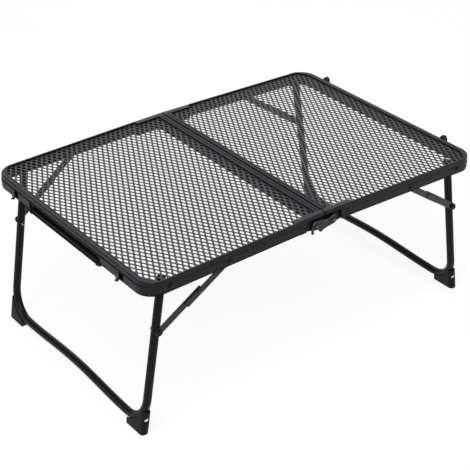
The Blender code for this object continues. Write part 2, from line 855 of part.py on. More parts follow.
def make_rail_rivets(side, half_name, half):
    """The rivets in the rails that the legs and the braces turn on."""

    def one_end(end_name, end):
        name = end_name + "_" + half_name
        head = HALF_WIDTH + GAP
        turn = (math.radians(-90 * end), 0, 0)
        shoulder_top = RAIL_INSIDE - GAP - head
        shoulder_bottom = LEG_Y + LEG_RADIUS + GAP - head
        tail = LEG_Y - LEG_RADIUS - GAP - head
        add_turned(
            name + "_leg_rivet",
            half,
            BRIGHT_STEEL,
            rivet_profile(0, RIVET_HEAD_RADIUS, RIVET_HEAD_HEIGHT)[:-2]
            + [
                (RIVET_RADIUS, shoulder_top),
                (SPACER_RADIUS, shoulder_top),
                (SPACER_RADIUS, shoulder_bottom),
                (RIVET_RADIUS, shoulder_bottom),
                (RIVET_RADIUS, tail),
                (RIVET_HEAD_RADIUS, tail),
                (RIVET_HEAD_RADIUS * 0.6, tail - RIVET_HEAD_HEIGHT),
                (0, tail - RIVET_HEAD_HEIGHT),
            ],
            (side * LEG_PIVOT_OUT, end * head, -LEG_PIVOT_DEPTH),
            turn,
        )
        link_inner = UPPER_LINK_Y - LINK_THICKNESS / 2 - GAP - LINK_LEAN_ROOM - head
        add_turned(
            name + "_brace_rivet",
            half,
            BRIGHT_STEEL,
            rivet_profile(0, RIVET_HEAD_RADIUS, RIVET_HEAD_HEIGHT)[:-2]
            + [
                (RIVET_RADIUS, link_inner),
                (RIVET_HEAD_RADIUS, link_inner),
                (RIVET_HEAD_RADIUS * 0.6, link_inner - RIVET_HEAD_HEIGHT),
                (0, link_inner - RIVET_HEAD_HEIGHT),
            ],
            (side * BRACE_RAIL_PIVOT_OUT, end * head, -BRACE_RAIL_PIVOT_DEPTH),
            turn,
        )

    both_ends(one_end)


def brace_geometry():
    """Link lengths and directions that make the brace straight both open and folded.

    Points are in the half's x-z plane, x outwards. Angles run from +x towards +z.
    """
    rail = (BRACE_RAIL_PIVOT_OUT, -BRACE_RAIL_PIVOT_DEPTH)
    down_x, down_z = turned_by(0, -BRACE_LEG_PIVOT_DOWN, SPLAY_IN_HALF)
    open_leg = (LEG_PIVOT_OUT + down_x, -LEG_PIVOT_DEPTH + down_z)
    folded_x, folded_z = turned_by(down_x, down_z, -LEG_FOLD)
    folded_leg = (LEG_PIVOT_OUT + folded_x, -LEG_PIVOT_DEPTH + folded_z)
    open_run = (open_leg[0] - rail[0], open_leg[1] - rail[1])
    folded_run = (rail[0] - folded_leg[0], rail[1] - folded_leg[1])
    open_length = math.hypot(*open_run)
    folded_length = math.hypot(*folded_run)
    knee_apart = LINK_THICKNESS + 3 * GAP
    lean = (UPPER_LINK_Y - LOWER_LINK_Y - knee_apart) / open_length
    return {
        "lean": lean,
        "upper": (open_length - folded_length) / 2,
        "lower": (open_length + folded_length) / 2,
        "open_direction": math.degrees(math.atan2(open_run[1], open_run[0])),
        "folded_direction": math.degrees(math.atan2(folded_run[1], folded_run[0])),
    }


def make_upper_link(side, name, brace, end, lengths):
    """The flat link on the rail, widened past its knee; x runs from the rail to the knee.

    It leans inwards from the rail's wall, so its knee end lies nearer to the leg's lane.
    """
    reach = lengths["upper"]
    lean = math.atan(lengths["lean"])
    narrow, wide = UPPER_LINK_WIDTH / 2, KNEE_WIDTH / 2
    outline = arc(0, 0, narrow, 90, 270)
    outline += [(reach - wide * 1.6, -narrow), (reach - wide, -wide)]
    outline += [(reach + KNEE_TAIL - wide, -wide)]
    outline += arc(reach + KNEE_TAIL - wide, 0, wide, -75, 75)
    outline += [(reach + KNEE_TAIL - wide, wide), (reach - wide, wide)]
    outline += [(reach - wide * 1.6, narrow)]
    add_plate(
        name + "_upper_link",
        brace,
        DARK_STEEL,
        [
            [(side * x, z) for x, z in outline],
            circle(0, 0, LINK_HOLE_RADIUS),
            circle(side * reach, 0, LINK_HOLE_RADIUS),
        ],
        LINK_THICKNESS,
        (0, end * UPPER_LINK_Y, 0),
        (math.radians(90), 0, -side * end * lean),
    )
    head = UPPER_LINK_Y - reach * math.sin(lean) + LINK_THICKNESS / 2 + GAP
    head += LINK_LEAN_ROOM / 2
    add_turned(
        name + "_knee_rivet",
        brace,
        BRIGHT_STEEL,
        rivet_profile(LINK_THICKNESS + GAP, RIVET_HEAD_RADIUS, KNEE_RIVET_HEAD_HEIGHT),
        (side * reach * math.cos(lean), end * head, 0),
        (math.radians(-90 * end), 0, 0),
    )


def make_lower_link(side, name, brace, end, lengths):
    """The flat link on the leg; x runs from the knee, inwards of it, to the leg's bolt.

    It leans outwards from the leg. The rivet's formed tail shows on its inner side.
    """
    reach = lengths["lower"]
    lean = math.atan(lengths["lean"])
    half_width = LOWER_LINK_WIDTH / 2
    outline = arc(0, 0, half_width, -90, 90)
    outline += arc(-reach, 0, half_width, 90, 270)
    link = add_plate(
        name + "_lower_link",
        brace,
        DARK_STEEL,
        [
            [(side * x, z) for x, z in outline],
            circle(0, 0, LINK_HOLE_RADIUS),
        ],
        LINK_THICKNESS,
        (0, end * LOWER_LINK_Y, 0),
        (math.radians(90), 0, -side * end * lean),
    )
    knee_y = LOWER_LINK_Y + reach * math.sin(lean)
    tail = add_cylinder(
        name + "_knee_tail",
        brace,
        None,
        (-side * reach * math.cos(lean), end * knee_y, 0),
        (
            -side * reach * math.cos(lean),
            end * (knee_y - LINK_THICKNESS / 2 - RIVET_HEAD_HEIGHT),
            0,
        ),
        RIVET_RADIUS + 1,
    )
    combine(as_mesh(link), [tail], "UNION")


def make_braces(side, half_name, half, leg):
    lengths = brace_geometry()
    direction = math.radians(lengths["open_direction"])
    splay = math.radians(SPLAY_IN_HALF)

    def one_end(end_name, end):
        name = end_name + "_" + half_name
        upper = add_empty(
            name + "_upper_link_axis",
            half,
            (side * BRACE_RAIL_PIVOT_OUT, 0, -BRACE_RAIL_PIVOT_DEPTH),
            (0, -side * direction, 0),
        )
        make_upper_link(side, name, upper, end, lengths)
        lower = add_empty(
            name + "_lower_link_axis",
            leg,
            (0, 0, -BRACE_LEG_PIVOT_DOWN),
            (0, -side * (direction - splay), 0),
        )
        make_lower_link(side, name, lower, end, lengths)

    both_ends(one_end)


def handle_cutters(half):
    """The recess that the handle lies in, and the bores that its trunnions turn in."""
    half_span = HANDLE_LENGTH / 2 + 2 * GAP
    recess = add_box(
        "handle_recess",
        half,
        None,
        (-HALF_LENGTH + HANDLE_RECESS_DEPTH, HANDLE_OFFSET - half_span, -RAIL_HEIGHT - 1),
        (-HALF_LENGTH - 1, HANDLE_OFFSET + half_span, HINGE_RECESS_TOP),
    )
    reach = HANDLE_LENGTH / 2 + HANDLE_TRUNNION_LENGTH + GAP
    pivot_x = -HALF_LENGTH + HANDLE_THICKNESS / 2 + GAP
    bore = add_cylinder(
        "handle_trunnion_bore",
        half,
        None,
        (pivot_x, HANDLE_OFFSET - reach, -HANDLE_PIVOT_DEPTH),
        (pivot_x, HANDLE_OFFSET + reach, -HANDLE_PIVOT_DEPTH),
        HANDLE_TRUNNION_RADIUS + GAP,
    )
    return [recess, bore]


def make_handle(half):
    """A folding grip bar between two lugs, with trunnions that turn in the rail."""
    pivot_x = -HALF_LENGTH + HANDLE_THICKNESS / 2 + GAP
    axis = add_empty("handle_axis", half, (pivot_x, HANDLE_OFFSET, -HANDLE_PIVOT_DEPTH))
    half_length = HANDLE_LENGTH / 2
    grip_bottom = -HANDLE_REACH
    grip_top = grip_bottom + HANDLE_BAR_HEIGHT
    inner, outer = HANDLE_THICKNESS / 2, -HANDLE_THICKNESS / 2 - HANDLE_PROUD
    lug_top = HANDLE_TRUNNION_RADIUS + HANDLE_LUG_COVER
    outline = [(-half_length, lug_top), (-half_length, grip_bottom + 3)]
    outline += [(-half_length + 3, grip_bottom), (half_length - 3, grip_bottom)]
    outline += [(half_length, grip_bottom + 3), (half_length, lug_top)]
    outline += [(half_length - HANDLE_LUG_LENGTH, lug_top)]
    outline += [(half_length - HANDLE_LUG_LENGTH - 2, grip_top)]
    outline += [(-half_length + HANDLE_LUG_LENGTH + 2, grip_top)]
    outline += [(-half_length + HANDLE_LUG_LENGTH, lug_top)]
    handle = add_plate(
        "handle",
        axis,
        BLACK_PLASTIC,
        [outline],
        inner - outer,
        ((inner + outer) / 2, 0, 0),
        PLATE_ACROSS_X,
    )
    handle = as_mesh(handle)
    # Round its axle the handle is rounded, so that it clears the rim's edge as it swings out
    under_rim = HINGE_RECESS_TOP + HANDLE_PIVOT_DEPTH - GAP
    past_face = HANDLE_THICKNESS / 2 + 3 * GAP
    round_top = arc(0, 0, under_rim, 180, 90)
    outline = [(outer - 1, lug_top + 1), (outer - 1, -past_face), (-under_rim, -past_face)]
    outline += round_top + [(0, lug_top + 1)]
    relief = add_plate(
        "handle_swing_relief",
        axis,
        None,
        [outline],
        HANDLE_LENGTH + 2,
        (0, 0, 0),
        PLATE_ACROSS_Y,
    )
    combine(handle, [as_mesh(relief)], "DIFFERENCE")
    soften(handle, HANDLE_EDGE, 2)
    reach = half_length + HANDLE_TRUNNION_LENGTH
    trunnions = [
        add_cylinder(
            "handle_trunnion_" + end_name,
            axis,
            None,
            (0, end * (half_length - 4), 0),
            (0, end * reach, 0),
            HANDLE_TRUNNION_RADIUS,
        )
        for end_name, end in (("front", -1), ("back", 1))
    ]
    combine(handle, trunnions, "UNION")


def latch_places():
    """Where the latches and their catches lie along the end rails."""
    return (
        ("front", -1, LATCH_OFFSET - LATCH_SPACING / 2),
        ("back", 1, LATCH_OFFSET + LATCH_SPACING / 2),
    )


def catch_cutters(half):
    """Seats for the catches in the left end rail, with a slot to the front of each."""
    cutters = []
    half_width = CATCH_PLATE_WIDTH / 2
    slot_shift = half_width + CATCH_SLOT_WIDTH / 2 + 2.0
    for end_name, _, y in latch_places():
        slot_low = -RAIL_HEIGHT + 2.5
        seat_top = RIM_BOTTOM - 1.5
        cuts = (
            ("slot", y - slot_shift, CATCH_SLOT_WIDTH / 2, slot_low, CATCH_SLOT_DEPTH),
            ("seat", y, half_width + GAP, -RAIL_HEIGHT - 1, CATCH_PLATE_THICKNESS + GAP),
        )
        for cut_name, middle, reach, low, depth in cuts:
            top = seat_top if cut_name == "seat" else slot_low + CATCH_SLOT_HEIGHT
            cutters.append(
                add_box(
                    end_name + "_catch_" + cut_name,
                    half,
                    None,
                    (-HALF_LENGTH + depth, middle - reach, low),
                    (-HALF_LENGTH - 1, middle + reach, top),
                )
            )
        cutters.append(
            add_cylinder(
                end_name + "_catch_stem_hole",
                half,
                None,
                (-HALF_LENGTH + 7, y, -RAIL_HEIGHT / 2 - 3),
                (-HALF_LENGTH - 1, y, -RAIL_HEIGHT / 2 - 3),
                RIVET_RADIUS + GAP,
            )
        )
    return cutters


def make_catches(half):
    """The catches let into the left end rail, each with a stem and a stud for a latch."""
    for end_name, _, y in latch_places():
        half_width = CATCH_PLATE_WIDTH / 2
        top = RIM_BOTTOM - 1.5 - GAP
        outline = arc(y, -CATCH_STUD_DEPTH, half_width - 0.5, 180, 360)
        outline += [(y + half_width, -RAIL_HEIGHT + 3), (y + half_width, top)]
        outline += [(y - half_width, top), (y - half_width, -RAIL_HEIGHT + 3)]
        plate = add_plate(
            end_name + "_catch",
            half,
            DARK_STEEL,
            [outline],
            CATCH_PLATE_THICKNESS,
            (-HALF_LENGTH + CATCH_PLATE_THICKNESS / 2, 0, 0),
            PLATE_ACROSS_X,
        )
        plate = as_mesh(plate)
        stem_z = -RAIL_HEIGHT / 2 - 3
        stem = add_cylinder(
            end_name + "_catch_stem",
            half,
            None,
            (-HALF_LENGTH + 6, y, stem_z),
            (-HALF_LENGTH + CATCH_PLATE_THICKNESS / 2, y, stem_z),
            RIVET_RADIUS,
        )
        stud = add_cylinder(
            end_name + "_catch_stud",
            half,
            None,
            (-HALF_LENGTH + CATCH_PLATE_THICKNESS / 2, y, -CATCH_STUD_DEPTH),
            (-HALF_LENGTH - CATCH_STUD_REACH, y, -CATCH_STUD_DEPTH),
            CATCH_STUD_RADIUS,
        )
        combine(plate, [stem, stud], "UNION")


def latch_cutters(half):
    return [
        add_cylinder(
            end_name + "_latch_hole",
            half,
            None,
            (HALF_LENGTH - 7, y, -LATCH_PIVOT_DEPTH),
            (HALF_LENGTH + 1, y, -LATCH_PIVOT_DEPTH),
            RIVET_RADIUS + GAP,
        )
        for end_name, _, y in latch_places()
    ]


def make_latches(half):
    """Swing latches on the right end rail: a hooked plate with a thumb tab and a stem.

    At rest each hook lies along the rail towards the middle. Turned down through a right
    angle it crosses the closed table's gap and takes the other half's stud in its notch.
    """
    face = HALF_LENGTH + GAP
    for end_name, end, y in latch_places():
        axis = add_empty(end_name + "_latch_axis", half, (0, y, -LATCH_PIVOT_DEPTH))
        half_width = LATCH_WIDTH / 2
        notch = CATCH_STUD_RADIUS + 2 * GAP
        tip = LATCH_LENGTH + notch + LATCH_HOOK_LENGTH
        # Points are (along from the pivot to the tip, up at rest)
        outline = arc(0, 0, half_width, 270, 90)
        outline += [(tip - 3, half_width), (tip, half_width - 3), (tip, -half_width)]
        outline += [(LATCH_LENGTH + notch, -half_width)]
        outline += arc(LATCH_LENGTH, 0, notch, 0, 180)
        outline += [(LATCH_LENGTH - notch, -half_width)]
        plate = add_plate(
            end_name + "_latch",
            axis,
            DARK_STEEL,
            [[(-end * along, across) for along, across in outline]],
            LATCH_THICKNESS,
            (face + LATCH_THICKNESS / 2, 0, 0),
            PLATE_ACROSS_X,
        )
        plate = as_mesh(plate)
        stem = add_cylinder(
            end_name + "_latch_stem",
            axis,
            None,
            (HALF_LENGTH - 6, 0, 0),
            (face + LATCH_THICKNESS / 2, 0, 0),
            RIVET_RADIUS,
        )
        straight = (LATCH_TAB_LENGTH - LATCH_WIDTH) / 2
        radius = half_width - 0.5
        tab_base = face + LATCH_THICKNESS / 2
        tab_tip = HALF_LENGTH + LATCH_TAB_REACH
        tab = add_plate(
            end_name + "_latch_tab",
            axis,
            None,
            [arc(straight, 0, radius, -90, 90) + arc(-straight, 0, radius, 90, 270)],
            tab_tip - tab_base,
            ((tab_base + tab_tip) / 2, -end * straight, 0),
            PLATE_ACROSS_X,
        )
        combine(plate, [stem, as_mesh(tab)], "UNION")


def make_half(side, half_name, table):
    """Everything that one half of the table carries, in the half's own frame."""
    hinge_line = add_empty(
        half_name + "_half_axis",
        table,
        (side * HINGE_PIN_OUT, 0, TABLE_HEIGHT - HINGE_PIN_DEPTH),
        (0, side * math.radians(CAMBER), 0),
    )
    half = add_empty(
        half_name + "_half_frame", hinge_line, (-side * HINGE_PIN_OUT, 0, HINGE_PIN_DEPTH)
    )
    make_frame(side, half_name, half)
    make_centre_rail(side, half_name, half)
    make_mesh_panel(side, half_name, half)
    make_hinge_side(side, half_name, half)
    make_rail_rivets(side, half_name, half)
    leg = add_empty(
        half_name + "_leg_axis",
        half,
        (side * LEG_PIVOT_OUT, 0, -LEG_PIVOT_DEPTH),
        (0, -side * math.radians(SPLAY_IN_HALF), 0),
    )
    make_leg(side, half_name, leg)
    make_braces(side, half_name, half, leg)
    if side < 0:
        make_handle(half)
        make_catches(half)
    else:
        make_latches(half)


def centre_lengthways(table):
    """Slides the table so that the middle of its whole length, ends included, is at x = 0."""
    bpy.context.view_layer.update()
    graph = bpy.context.evaluated_depsgraph_get()
    reach = []
    for thing in PARTS.objects:
        if thing.type != "EMPTY":
            solid = thing.evaluated_get(graph)
            points = solid.to_mesh().vertices
            reach += [(solid.matrix_world @ point.co).x for point in points]
            solid.to_mesh_clear()
    table.location.x -= (min(reach) + max(reach)) / 2


def shade_round_pieces():
    for thing in PARTS.objects:
        if thing.type == "MESH":
            thing.data.shade_smooth()
            thing.data.set_sharp_from_angle(angle=math.radians(35))


clear_scene()
PARTS = collection_named("folding_camp_table")
CUTTERS = collection_named("cutters", hidden=True)
TABLE = add_empty("table_centre", None, (0, 0, 0))
make_half(-1, "left", TABLE)
make_half(1, "right", TABLE)
HINGE = add_empty("hinge_link_axis", TABLE, (0, 0, TABLE_HEIGHT - HINGE_PIN_DEPTH))
make_hinge_links(HINGE)
centre_lengthways(TABLE)
shade_round_pieces()
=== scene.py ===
"""Folding camp table: the fine surfaces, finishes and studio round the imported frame.

Shapes are worked out in millimetres in the frame of the half, leg or link that carries them,
then placed in the world in metres. In a half's frame the origin is on the hinge line at the
top of the rim, x runs lengthways and z is up; side is -1 on the left half and +1 on the right.
"""

import json
import math

import bmesh
import bpy
import numpy as np
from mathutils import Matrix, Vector


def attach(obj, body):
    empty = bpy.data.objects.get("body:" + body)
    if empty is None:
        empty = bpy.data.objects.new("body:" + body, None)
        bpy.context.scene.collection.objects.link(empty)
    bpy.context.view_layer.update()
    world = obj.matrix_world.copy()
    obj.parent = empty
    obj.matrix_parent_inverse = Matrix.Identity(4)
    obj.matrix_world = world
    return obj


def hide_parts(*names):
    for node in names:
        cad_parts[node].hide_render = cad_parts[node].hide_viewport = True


bl_info = {
    "name": "Folding camp table",
    "version": (1, 0, 0),
    "blender": (4, 5, 0),
    "location": "3D View > Sidebar > Camp table",
    "description": "Builds the visible surfaces of a folding mesh-topped camp table",
    "category": "Add Mesh",
}

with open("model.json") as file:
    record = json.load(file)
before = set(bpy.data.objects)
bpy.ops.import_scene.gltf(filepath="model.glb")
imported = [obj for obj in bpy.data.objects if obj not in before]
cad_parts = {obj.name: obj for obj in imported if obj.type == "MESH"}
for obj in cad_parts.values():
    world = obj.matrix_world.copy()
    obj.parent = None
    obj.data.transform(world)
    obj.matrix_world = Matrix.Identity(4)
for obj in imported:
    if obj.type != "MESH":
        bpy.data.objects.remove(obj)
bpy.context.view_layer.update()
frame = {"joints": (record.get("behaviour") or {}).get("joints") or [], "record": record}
JOINTS = {joint["name"]: joint for joint in frame["joints"]}
SIDES = (("left", -1), ("right", 1))
ENDS = (("front", -1), ("back", 1))

# The rails, in millimetres: along the long sides, from WALL_START on, they are a thin wall
HALF_LENGTH, HALF_WIDTH = 300.0, 200.0
RAIL_WIDTH, RAIL_HEIGHT = 10.0, 21.5
RAIL_INSIDE = HALF_WIDTH - RAIL_WIDTH
WALL, WALL_START = 2.6, 50.0
WALL_INSIDE = HALF_WIDTH - WALL
CORNER_RADIUS = 27.0
FOOT_HEIGHT, FOOT_SETBACK = 2.2, 0.7
RIM_HEIGHT, RIM_SETBACK = 6.5, 0.9
GROOVE_HEIGHT, LONG_GROOVE, END_GROOVE = 1.2, 0.5, 1.8
CREASE = 0.7
CENTRE_GAP = 0.8
# What stays free between two pieces
GAP = 0.3
# The tops of the recesses for the handle and the hinges, and the net
RECESS_TOP = -RIM_HEIGHT - GROOVE_HEIGHT - 1.0
HINGE_RECESS_TOP = -5.0
NET_TOP, NET_THICKNESS, NET_ROUNDING = -2.6, 1.0, 0.3
NET_CORNERS = 12
# The hinge: its pins, the web behind it, its recess's open part by side, its leaf and link
PIN_OUT, PIN_DEPTH = 15.25, 17.1
HINGE_WEB = HALF_WIDTH - 5.0
OPEN_RECESS = {-1: 33.0, 1: 31.0}
LEAF_END, LEAF_THICK, HINGE_LINK_THICK = 45.6, 2.0, 3.2
# The legs: the tube, its height above the sole, the arch of its bar, and its lean
LEG_RADIUS, LEG_Y, LEG_BEND = 6.0, 178.8, 42.0
LEG_TOP, LEG_STAND, LEG_ARCH = 3.6, 12.5, 5.5
SOLE_DROP = 240.842
LEG_SPLAY = math.radians(9.1)
# The braces: each link's place, its reach from pivot to knee, and its end past the knee
UPPER_LINK_Y, UPPER_REACH, UPPER_TONGUE = 196.3, 55.951, 26.0
LOWER_LINK_Y, LOWER_REACH, LOWER_TONGUE = 186.3, 76.461, 6.0
LINK_LEAN = math.atan(0.0566415)
BRACE_TILT = math.radians(33.7558)
# The pivots: of the leg and the brace in the rail, and of the brace down the leg
LEG_OUT, LEG_DEPTH = 263.0, 13.0
BRACE_OUT, BRACE_DEPTH = 166.5, 14.2
BRACE_DOWN = 76.0
# The handle, and the latches with their thumb tabs
HANDLE_HALF, HANDLE_MIDDLE = 93.0, 4.5
LATCH_PLACES = {"front": -129.0, "back": 147.0}
LATCH_DEPTH, LATCH_REACH = 10.8, 29.9
TAB_PAST_RIM, TAB_OUT, TAB_THICK = 3.0, 7.8, 6.9
# How much each half slopes away from the hinge
CAMBER = math.asin(abs(frame["record"]["mounts"][-1]["axis"][0]))
# Where the camera stands, in metres, and the direction that it looks in
CAMERA_PLACE = (-1.05547, -1.3672, 1.1655)
CAMERA_LOOK = (0.5218, 0.6787, -0.5167)

X, Y, Z = 0, 1, 2
QUARTER = math.pi / 2
NOISE, CELLS = "ShaderNodeTexNoise", "ShaderNodeTexVoronoi"


def to_linear(hex_colour):
    """An sRGB hex colour as linear red, green, blue and alpha."""
    parts = [int(hex_colour[i:i + 2], 16) / 255 for i in (1, 3, 5)]
    return [c / 12.92 if c <= 0.04045 else ((c + 0.055) / 1.055) ** 2.4 for c in parts] + [1.0]


def add_node(tree, kind, settings=None, values=None, links=None):
    """Adds a node: settings are its attributes, values its sockets, links come from others."""
    node = tree.nodes.new(kind)
    for key, value in (settings or {}).items():
        setattr(node, key, value)
    for key, value in (values or {}).items():
        node.inputs[key].default_value = value
    for key, socket in (links or {}).items():
        tree.links.new(socket, node.inputs[key])
    return node


# Places


def turn(axis, angle):
    """A turn about x, y or z by the right-hand rule, as a 4 by 4 array."""
    matrix = np.eye(4)
    first, second = (axis + 1) % 3, (axis + 2) % 3
    matrix[[first, second], [first, second]] = math.cos(angle)
    matrix[first, second], matrix[second, first] = -math.sin(angle), math.sin(angle)
    return matrix


# Stand a plate's outline in the x-z plane or the y-z plane, or point a turned piece along -x
UPRIGHT = turn(X, QUARTER)
ENDWAYS = turn(Z, QUARTER) @ UPRIGHT
LEFTWARDS = turn(Y, -QUARTER)


def shift(x, y, z):
    """A move by x, y and z, as a 4 by 4 array."""
    matrix = np.eye(4)
    matrix[:3, 3] = (x, y, z)
    return matrix


def joint_place(name, y=0.0):
    """A joint's place in millimetres, slid to y along its axis."""
    x, _, z = (1000 * value for value in JOINTS[name]["pos_m"])
    return shift(x, y, z)


def half_place(side_name, side):
    """The frame of a half: turned about its hinge pins by the camber."""
    pins = joint_place(side_name + "_fold") @ turn(Y, side * CAMBER)
    return pins @ shift(-side * PIN_OUT, 0, PIN_DEPTH)


def leg_place(side_name, side):
    """The frame of a leg: its origin on the pivot, z up along the tube."""
    return joint_place(side_name + "_leg_fold") @ turn(Y, -side * LEG_SPLAY)


def link_place(side, joint_name):
    """The frame of a brace's link: x along the open brace."""
    return joint_place(joint_name) @ turn(Y, side * (BRACE_TILT + CAMBER))


# Shapes: (points, faces) with points as an array of rows


def loop_quads(rows, columns):
    """Quads between rows of closed loops: each point with the next along and the next row."""
    start = np.arange(rows - 1)[:, None] * columns
    along = np.arange(columns)
    after = (along + 1) % columns
    corners = [start + along, start + after, start + after + columns, start + along + columns]
    return np.stack(corners, axis=-1).reshape(-1, 4).tolist()


def loft(rings):
    """A closed skin over rings of equal length, with a flat cap on the first and the last."""
    rows, columns = rings.shape[:2]
    last = (rows - 1) * columns
    faces = loop_quads(rows, columns)
    faces += [list(range(columns))[::-1], list(range(last, last + columns))]
    return rings.reshape(-1, 3), faces


def turned(profile, sides=40):
    """A profile of (radius, height) rows swept round z: x = r cos a, y = r sin a."""
    profile = np.array(profile, float)
    angles = np.linspace(0, math.tau, sides, endpoint=False)
    radius, height = profile[:, :1], profile[:, 1:]
    x, y, z = radius * np.cos(angles), radius * np.sin(angles), height + 0 * angles
    return np.stack([x, y, z], axis=-1).reshape(-1, 3), loop_quads(len(profile), sides)


def dome(radius, height, shank, shank_length):
    """Profile of a rivet: a head (radius sin a, height cos a) above zero, and a shank below."""
    head = [(radius * math.sin(a), height * math.cos(a)) for a in np.linspace(0, 1.45, 9)]
    return head + [(radius, 0), (shank, 0), (shank, -shank_length), (0, -shank_length)]


def facing(end, x, y, z):
    """Lays a turned piece's z axis along y, away from the table's middle."""
    return shift(x, end * y, z) @ turn(X, -end * QUARTER)


def arc(x, y, radius, start, end, steps=10):
    """Points (x + r cos a, y + r sin a) from start to end degrees."""
    angles = np.radians(np.linspace(start, end, steps))
    return np.stack([x + radius * np.cos(angles), y + radius * np.sin(angles)], axis=-1)


def stadium(start, end, radius, steps=14):
    """A long outline from x = start to x = end with round ends of the radius."""
    right, left = (end - radius, 0, radius, -90, 90), (start + radius, 0, radius, 90, 270)
    return np.concatenate([arc(*right, steps), arc(*left, steps)])


def fillet(corners, radius, steps=7):
    """Rounds a closed outline: each corner P becomes the curve (1-t)²A + 2t(1-t)P + t²B.

    A and B lie the radius away from P along its two sides, or 45% of a short side.
    """
    corner = np.array(corners, float)
    back, ahead = np.roll(corner, 1, axis=0) - corner, np.roll(corner, -1, axis=0) - corner
    radius = np.broadcast_to(np.array(radius, float), len(corner))[:, None]

    def leave(side):
        length = np.linalg.norm(side, axis=1, keepdims=True)
        return corner + side / length * np.minimum(radius, 0.45 * length)

    a, b = leave(back)[:, None], leave(ahead)[:, None]
    t = np.linspace(0, 1, steps)[None, :, None]
    curve = (1 - t) ** 2 * a + 2 * t * (1 - t) * corner[:, None] + t**2 * b
    return curve.reshape(-1, 2)


def inset(outline, depth):
    """The outline, counter-clockwise, moved inwards by depth.

    Each point moves against the mean of the normals of its two sides.
    """
    side = np.roll(outline, -1, axis=0) - outline
    normal = unit(np.stack([side[:, 1], -side[:, 0]], axis=-1))
    return outline - depth * unit(normal + np.roll(normal, 1, axis=0))


def unit(rows):
    """The rows at length 1."""
    return rows / np.maximum(np.linalg.norm(rows, axis=1, keepdims=True), 1e-9)


def plate(outline, thickness, rounding=0.4, steps=4):
    """A flat piece in the x-y plane whose edges are quarter rounds of radius r, the rounding.

    At angle a the outline is inset by r (1 - cos a), at r (1 - sin a) under its face.
    """
    area = np.cross(outline, np.roll(outline, -1, axis=0)).sum()
    if area < 0:
        outline = outline[::-1]
    bends = np.linspace(0, QUARTER, steps)
    rings = []
    for sign in (-1, 1):
        for bend in bends[::-sign]:
            ring = inset(outline, rounding * (1 - math.cos(bend)))
            height = sign * (thickness / 2 - rounding * (1 - math.sin(bend)))
            rings.append(np.column_stack([ring, np.full(len(ring), height)]))
    return loft(np.array(rings))


def sweep(path, across, sections):
    """A section, or one for each point, carried along: point + u * across + v * up."""
    sections = np.broadcast_to(sections, (len(path), *sections.shape[-2:]))
    out, up = sections[:, :, :1] * across[:, None], sections[:, :, 1:] * np.array([0, 0, 1.0])
    return loft(path[:, None] + out + up)


def straight_bar(section, reach):
    """A section in x and z carried straight along y, from -reach to reach."""
    path = np.array([[0, -reach, 0], [0, reach, 0]])
    return sweep(path, np.array([[1.0, 0, 0], [1.0, 0, 0]]), section)


def box(low, high):
    """A plain box between two corners, which only cuts: the unit box stretched and moved."""
    low, high = np.minimum(low, high), np.maximum(low, high)
    corners = np.array([[0, 0], [1, 0], [1, 1], [0, 1]], float)
    rings = [np.column_stack([corners, np.full(4, level)]) for level in (0.0, 1.0)]
    points, faces = loft(np.array(rings))
    return low + points * (high - low), faces


def slab(outline, start, stop):
    """An outline in the x-z plane carried straight from y = start to y = stop."""
    rings = [np.column_stack([outline[:, 0], np.full(len(outline), y), outline[:, 1]])
             for y in (start, stop)]
    return loft(np.array(rings))


def placed(shape, *moves):
    """The shape after the moves, the last one first: each point p becomes M p + t."""
    points, faces = shape
    matrix = np.linalg.multi_dot([np.eye(4), np.eye(4), *moves])
    return points @ matrix[:3, :3].T + matrix[:3, 3], faces


def side_shape(shape, side):
    """The shape with x times side: as it is on the right half, mirrored on the left."""
    points, faces = shape
    return points * [side, 1.0, 1.0], faces


def standing(outline, thickness, rounding, y, side=1, lean=0.0, steps=4):
    """A plate upright at y, with its outline in x and z, mirrored to its side and leant."""
    shape = side_shape(plate(outline, thickness, rounding, steps), side)
    return placed(shape, shift(0, y, 0), turn(Z, lean), UPRIGHT)


def joined(*shapes):
    """Several closed skins as one shape."""
    points, faces, start = [], [], 0
    for shape_points, shape_faces in shapes:
        points.append(shape_points)
        faces += [[corner + start for corner in face] for face in shape_faces]
        start += len(shape_points)
    return np.concatenate(points), faces


# Meshes and pieces


def mesh_of(name, shape, place, sharp=35.0):
    """The shape in the world in metres, doubles merged, faces outwards, shaded smooth."""
    points, faces = placed(shape, place)
    mesh = bpy.data.meshes.new(name)
    mesh.from_pydata(points * 0.001, [], faces)
    tidy(mesh)
    shade(mesh, sharp)
    return mesh


def tidy(mesh):
    """Merges doubled points, drops empty faces and turns every face outwards."""
    work = bmesh.new()
    work.from_mesh(mesh)
    bmesh.ops.remove_doubles(work, verts=work.verts, dist=2e-6)
    bmesh.ops.dissolve_degenerate(work, edges=work.edges, dist=1e-6)
    bmesh.ops.recalc_face_normals(work, faces=work.faces)
    work.to_mesh(mesh)
    work.free()


def shade(mesh, sharp):
    """Shades the mesh smooth, with an edge wherever two faces meet at more than sharp degrees."""
    mesh.shade_smooth()
    mesh.set_sharp_from_angle(angle=math.radians(sharp))


def add_piece(name, shape, place, body, node, finishes, sharp=35.0):
    """A visible piece that rides on a body and stands for a node of the frame.

    finishes lists the names of its finishes. Every face has the first until it is painted.
    """
    mesh = mesh_of(name, shape, place, sharp)
    for finish in finishes.split():
        mesh.materials.append(finish_named(finish))
    piece = bpy.data.objects.new(name, mesh)
    bpy.context.scene.collection.objects.link(piece)
    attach(piece, body)
    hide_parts(node)
    return piece


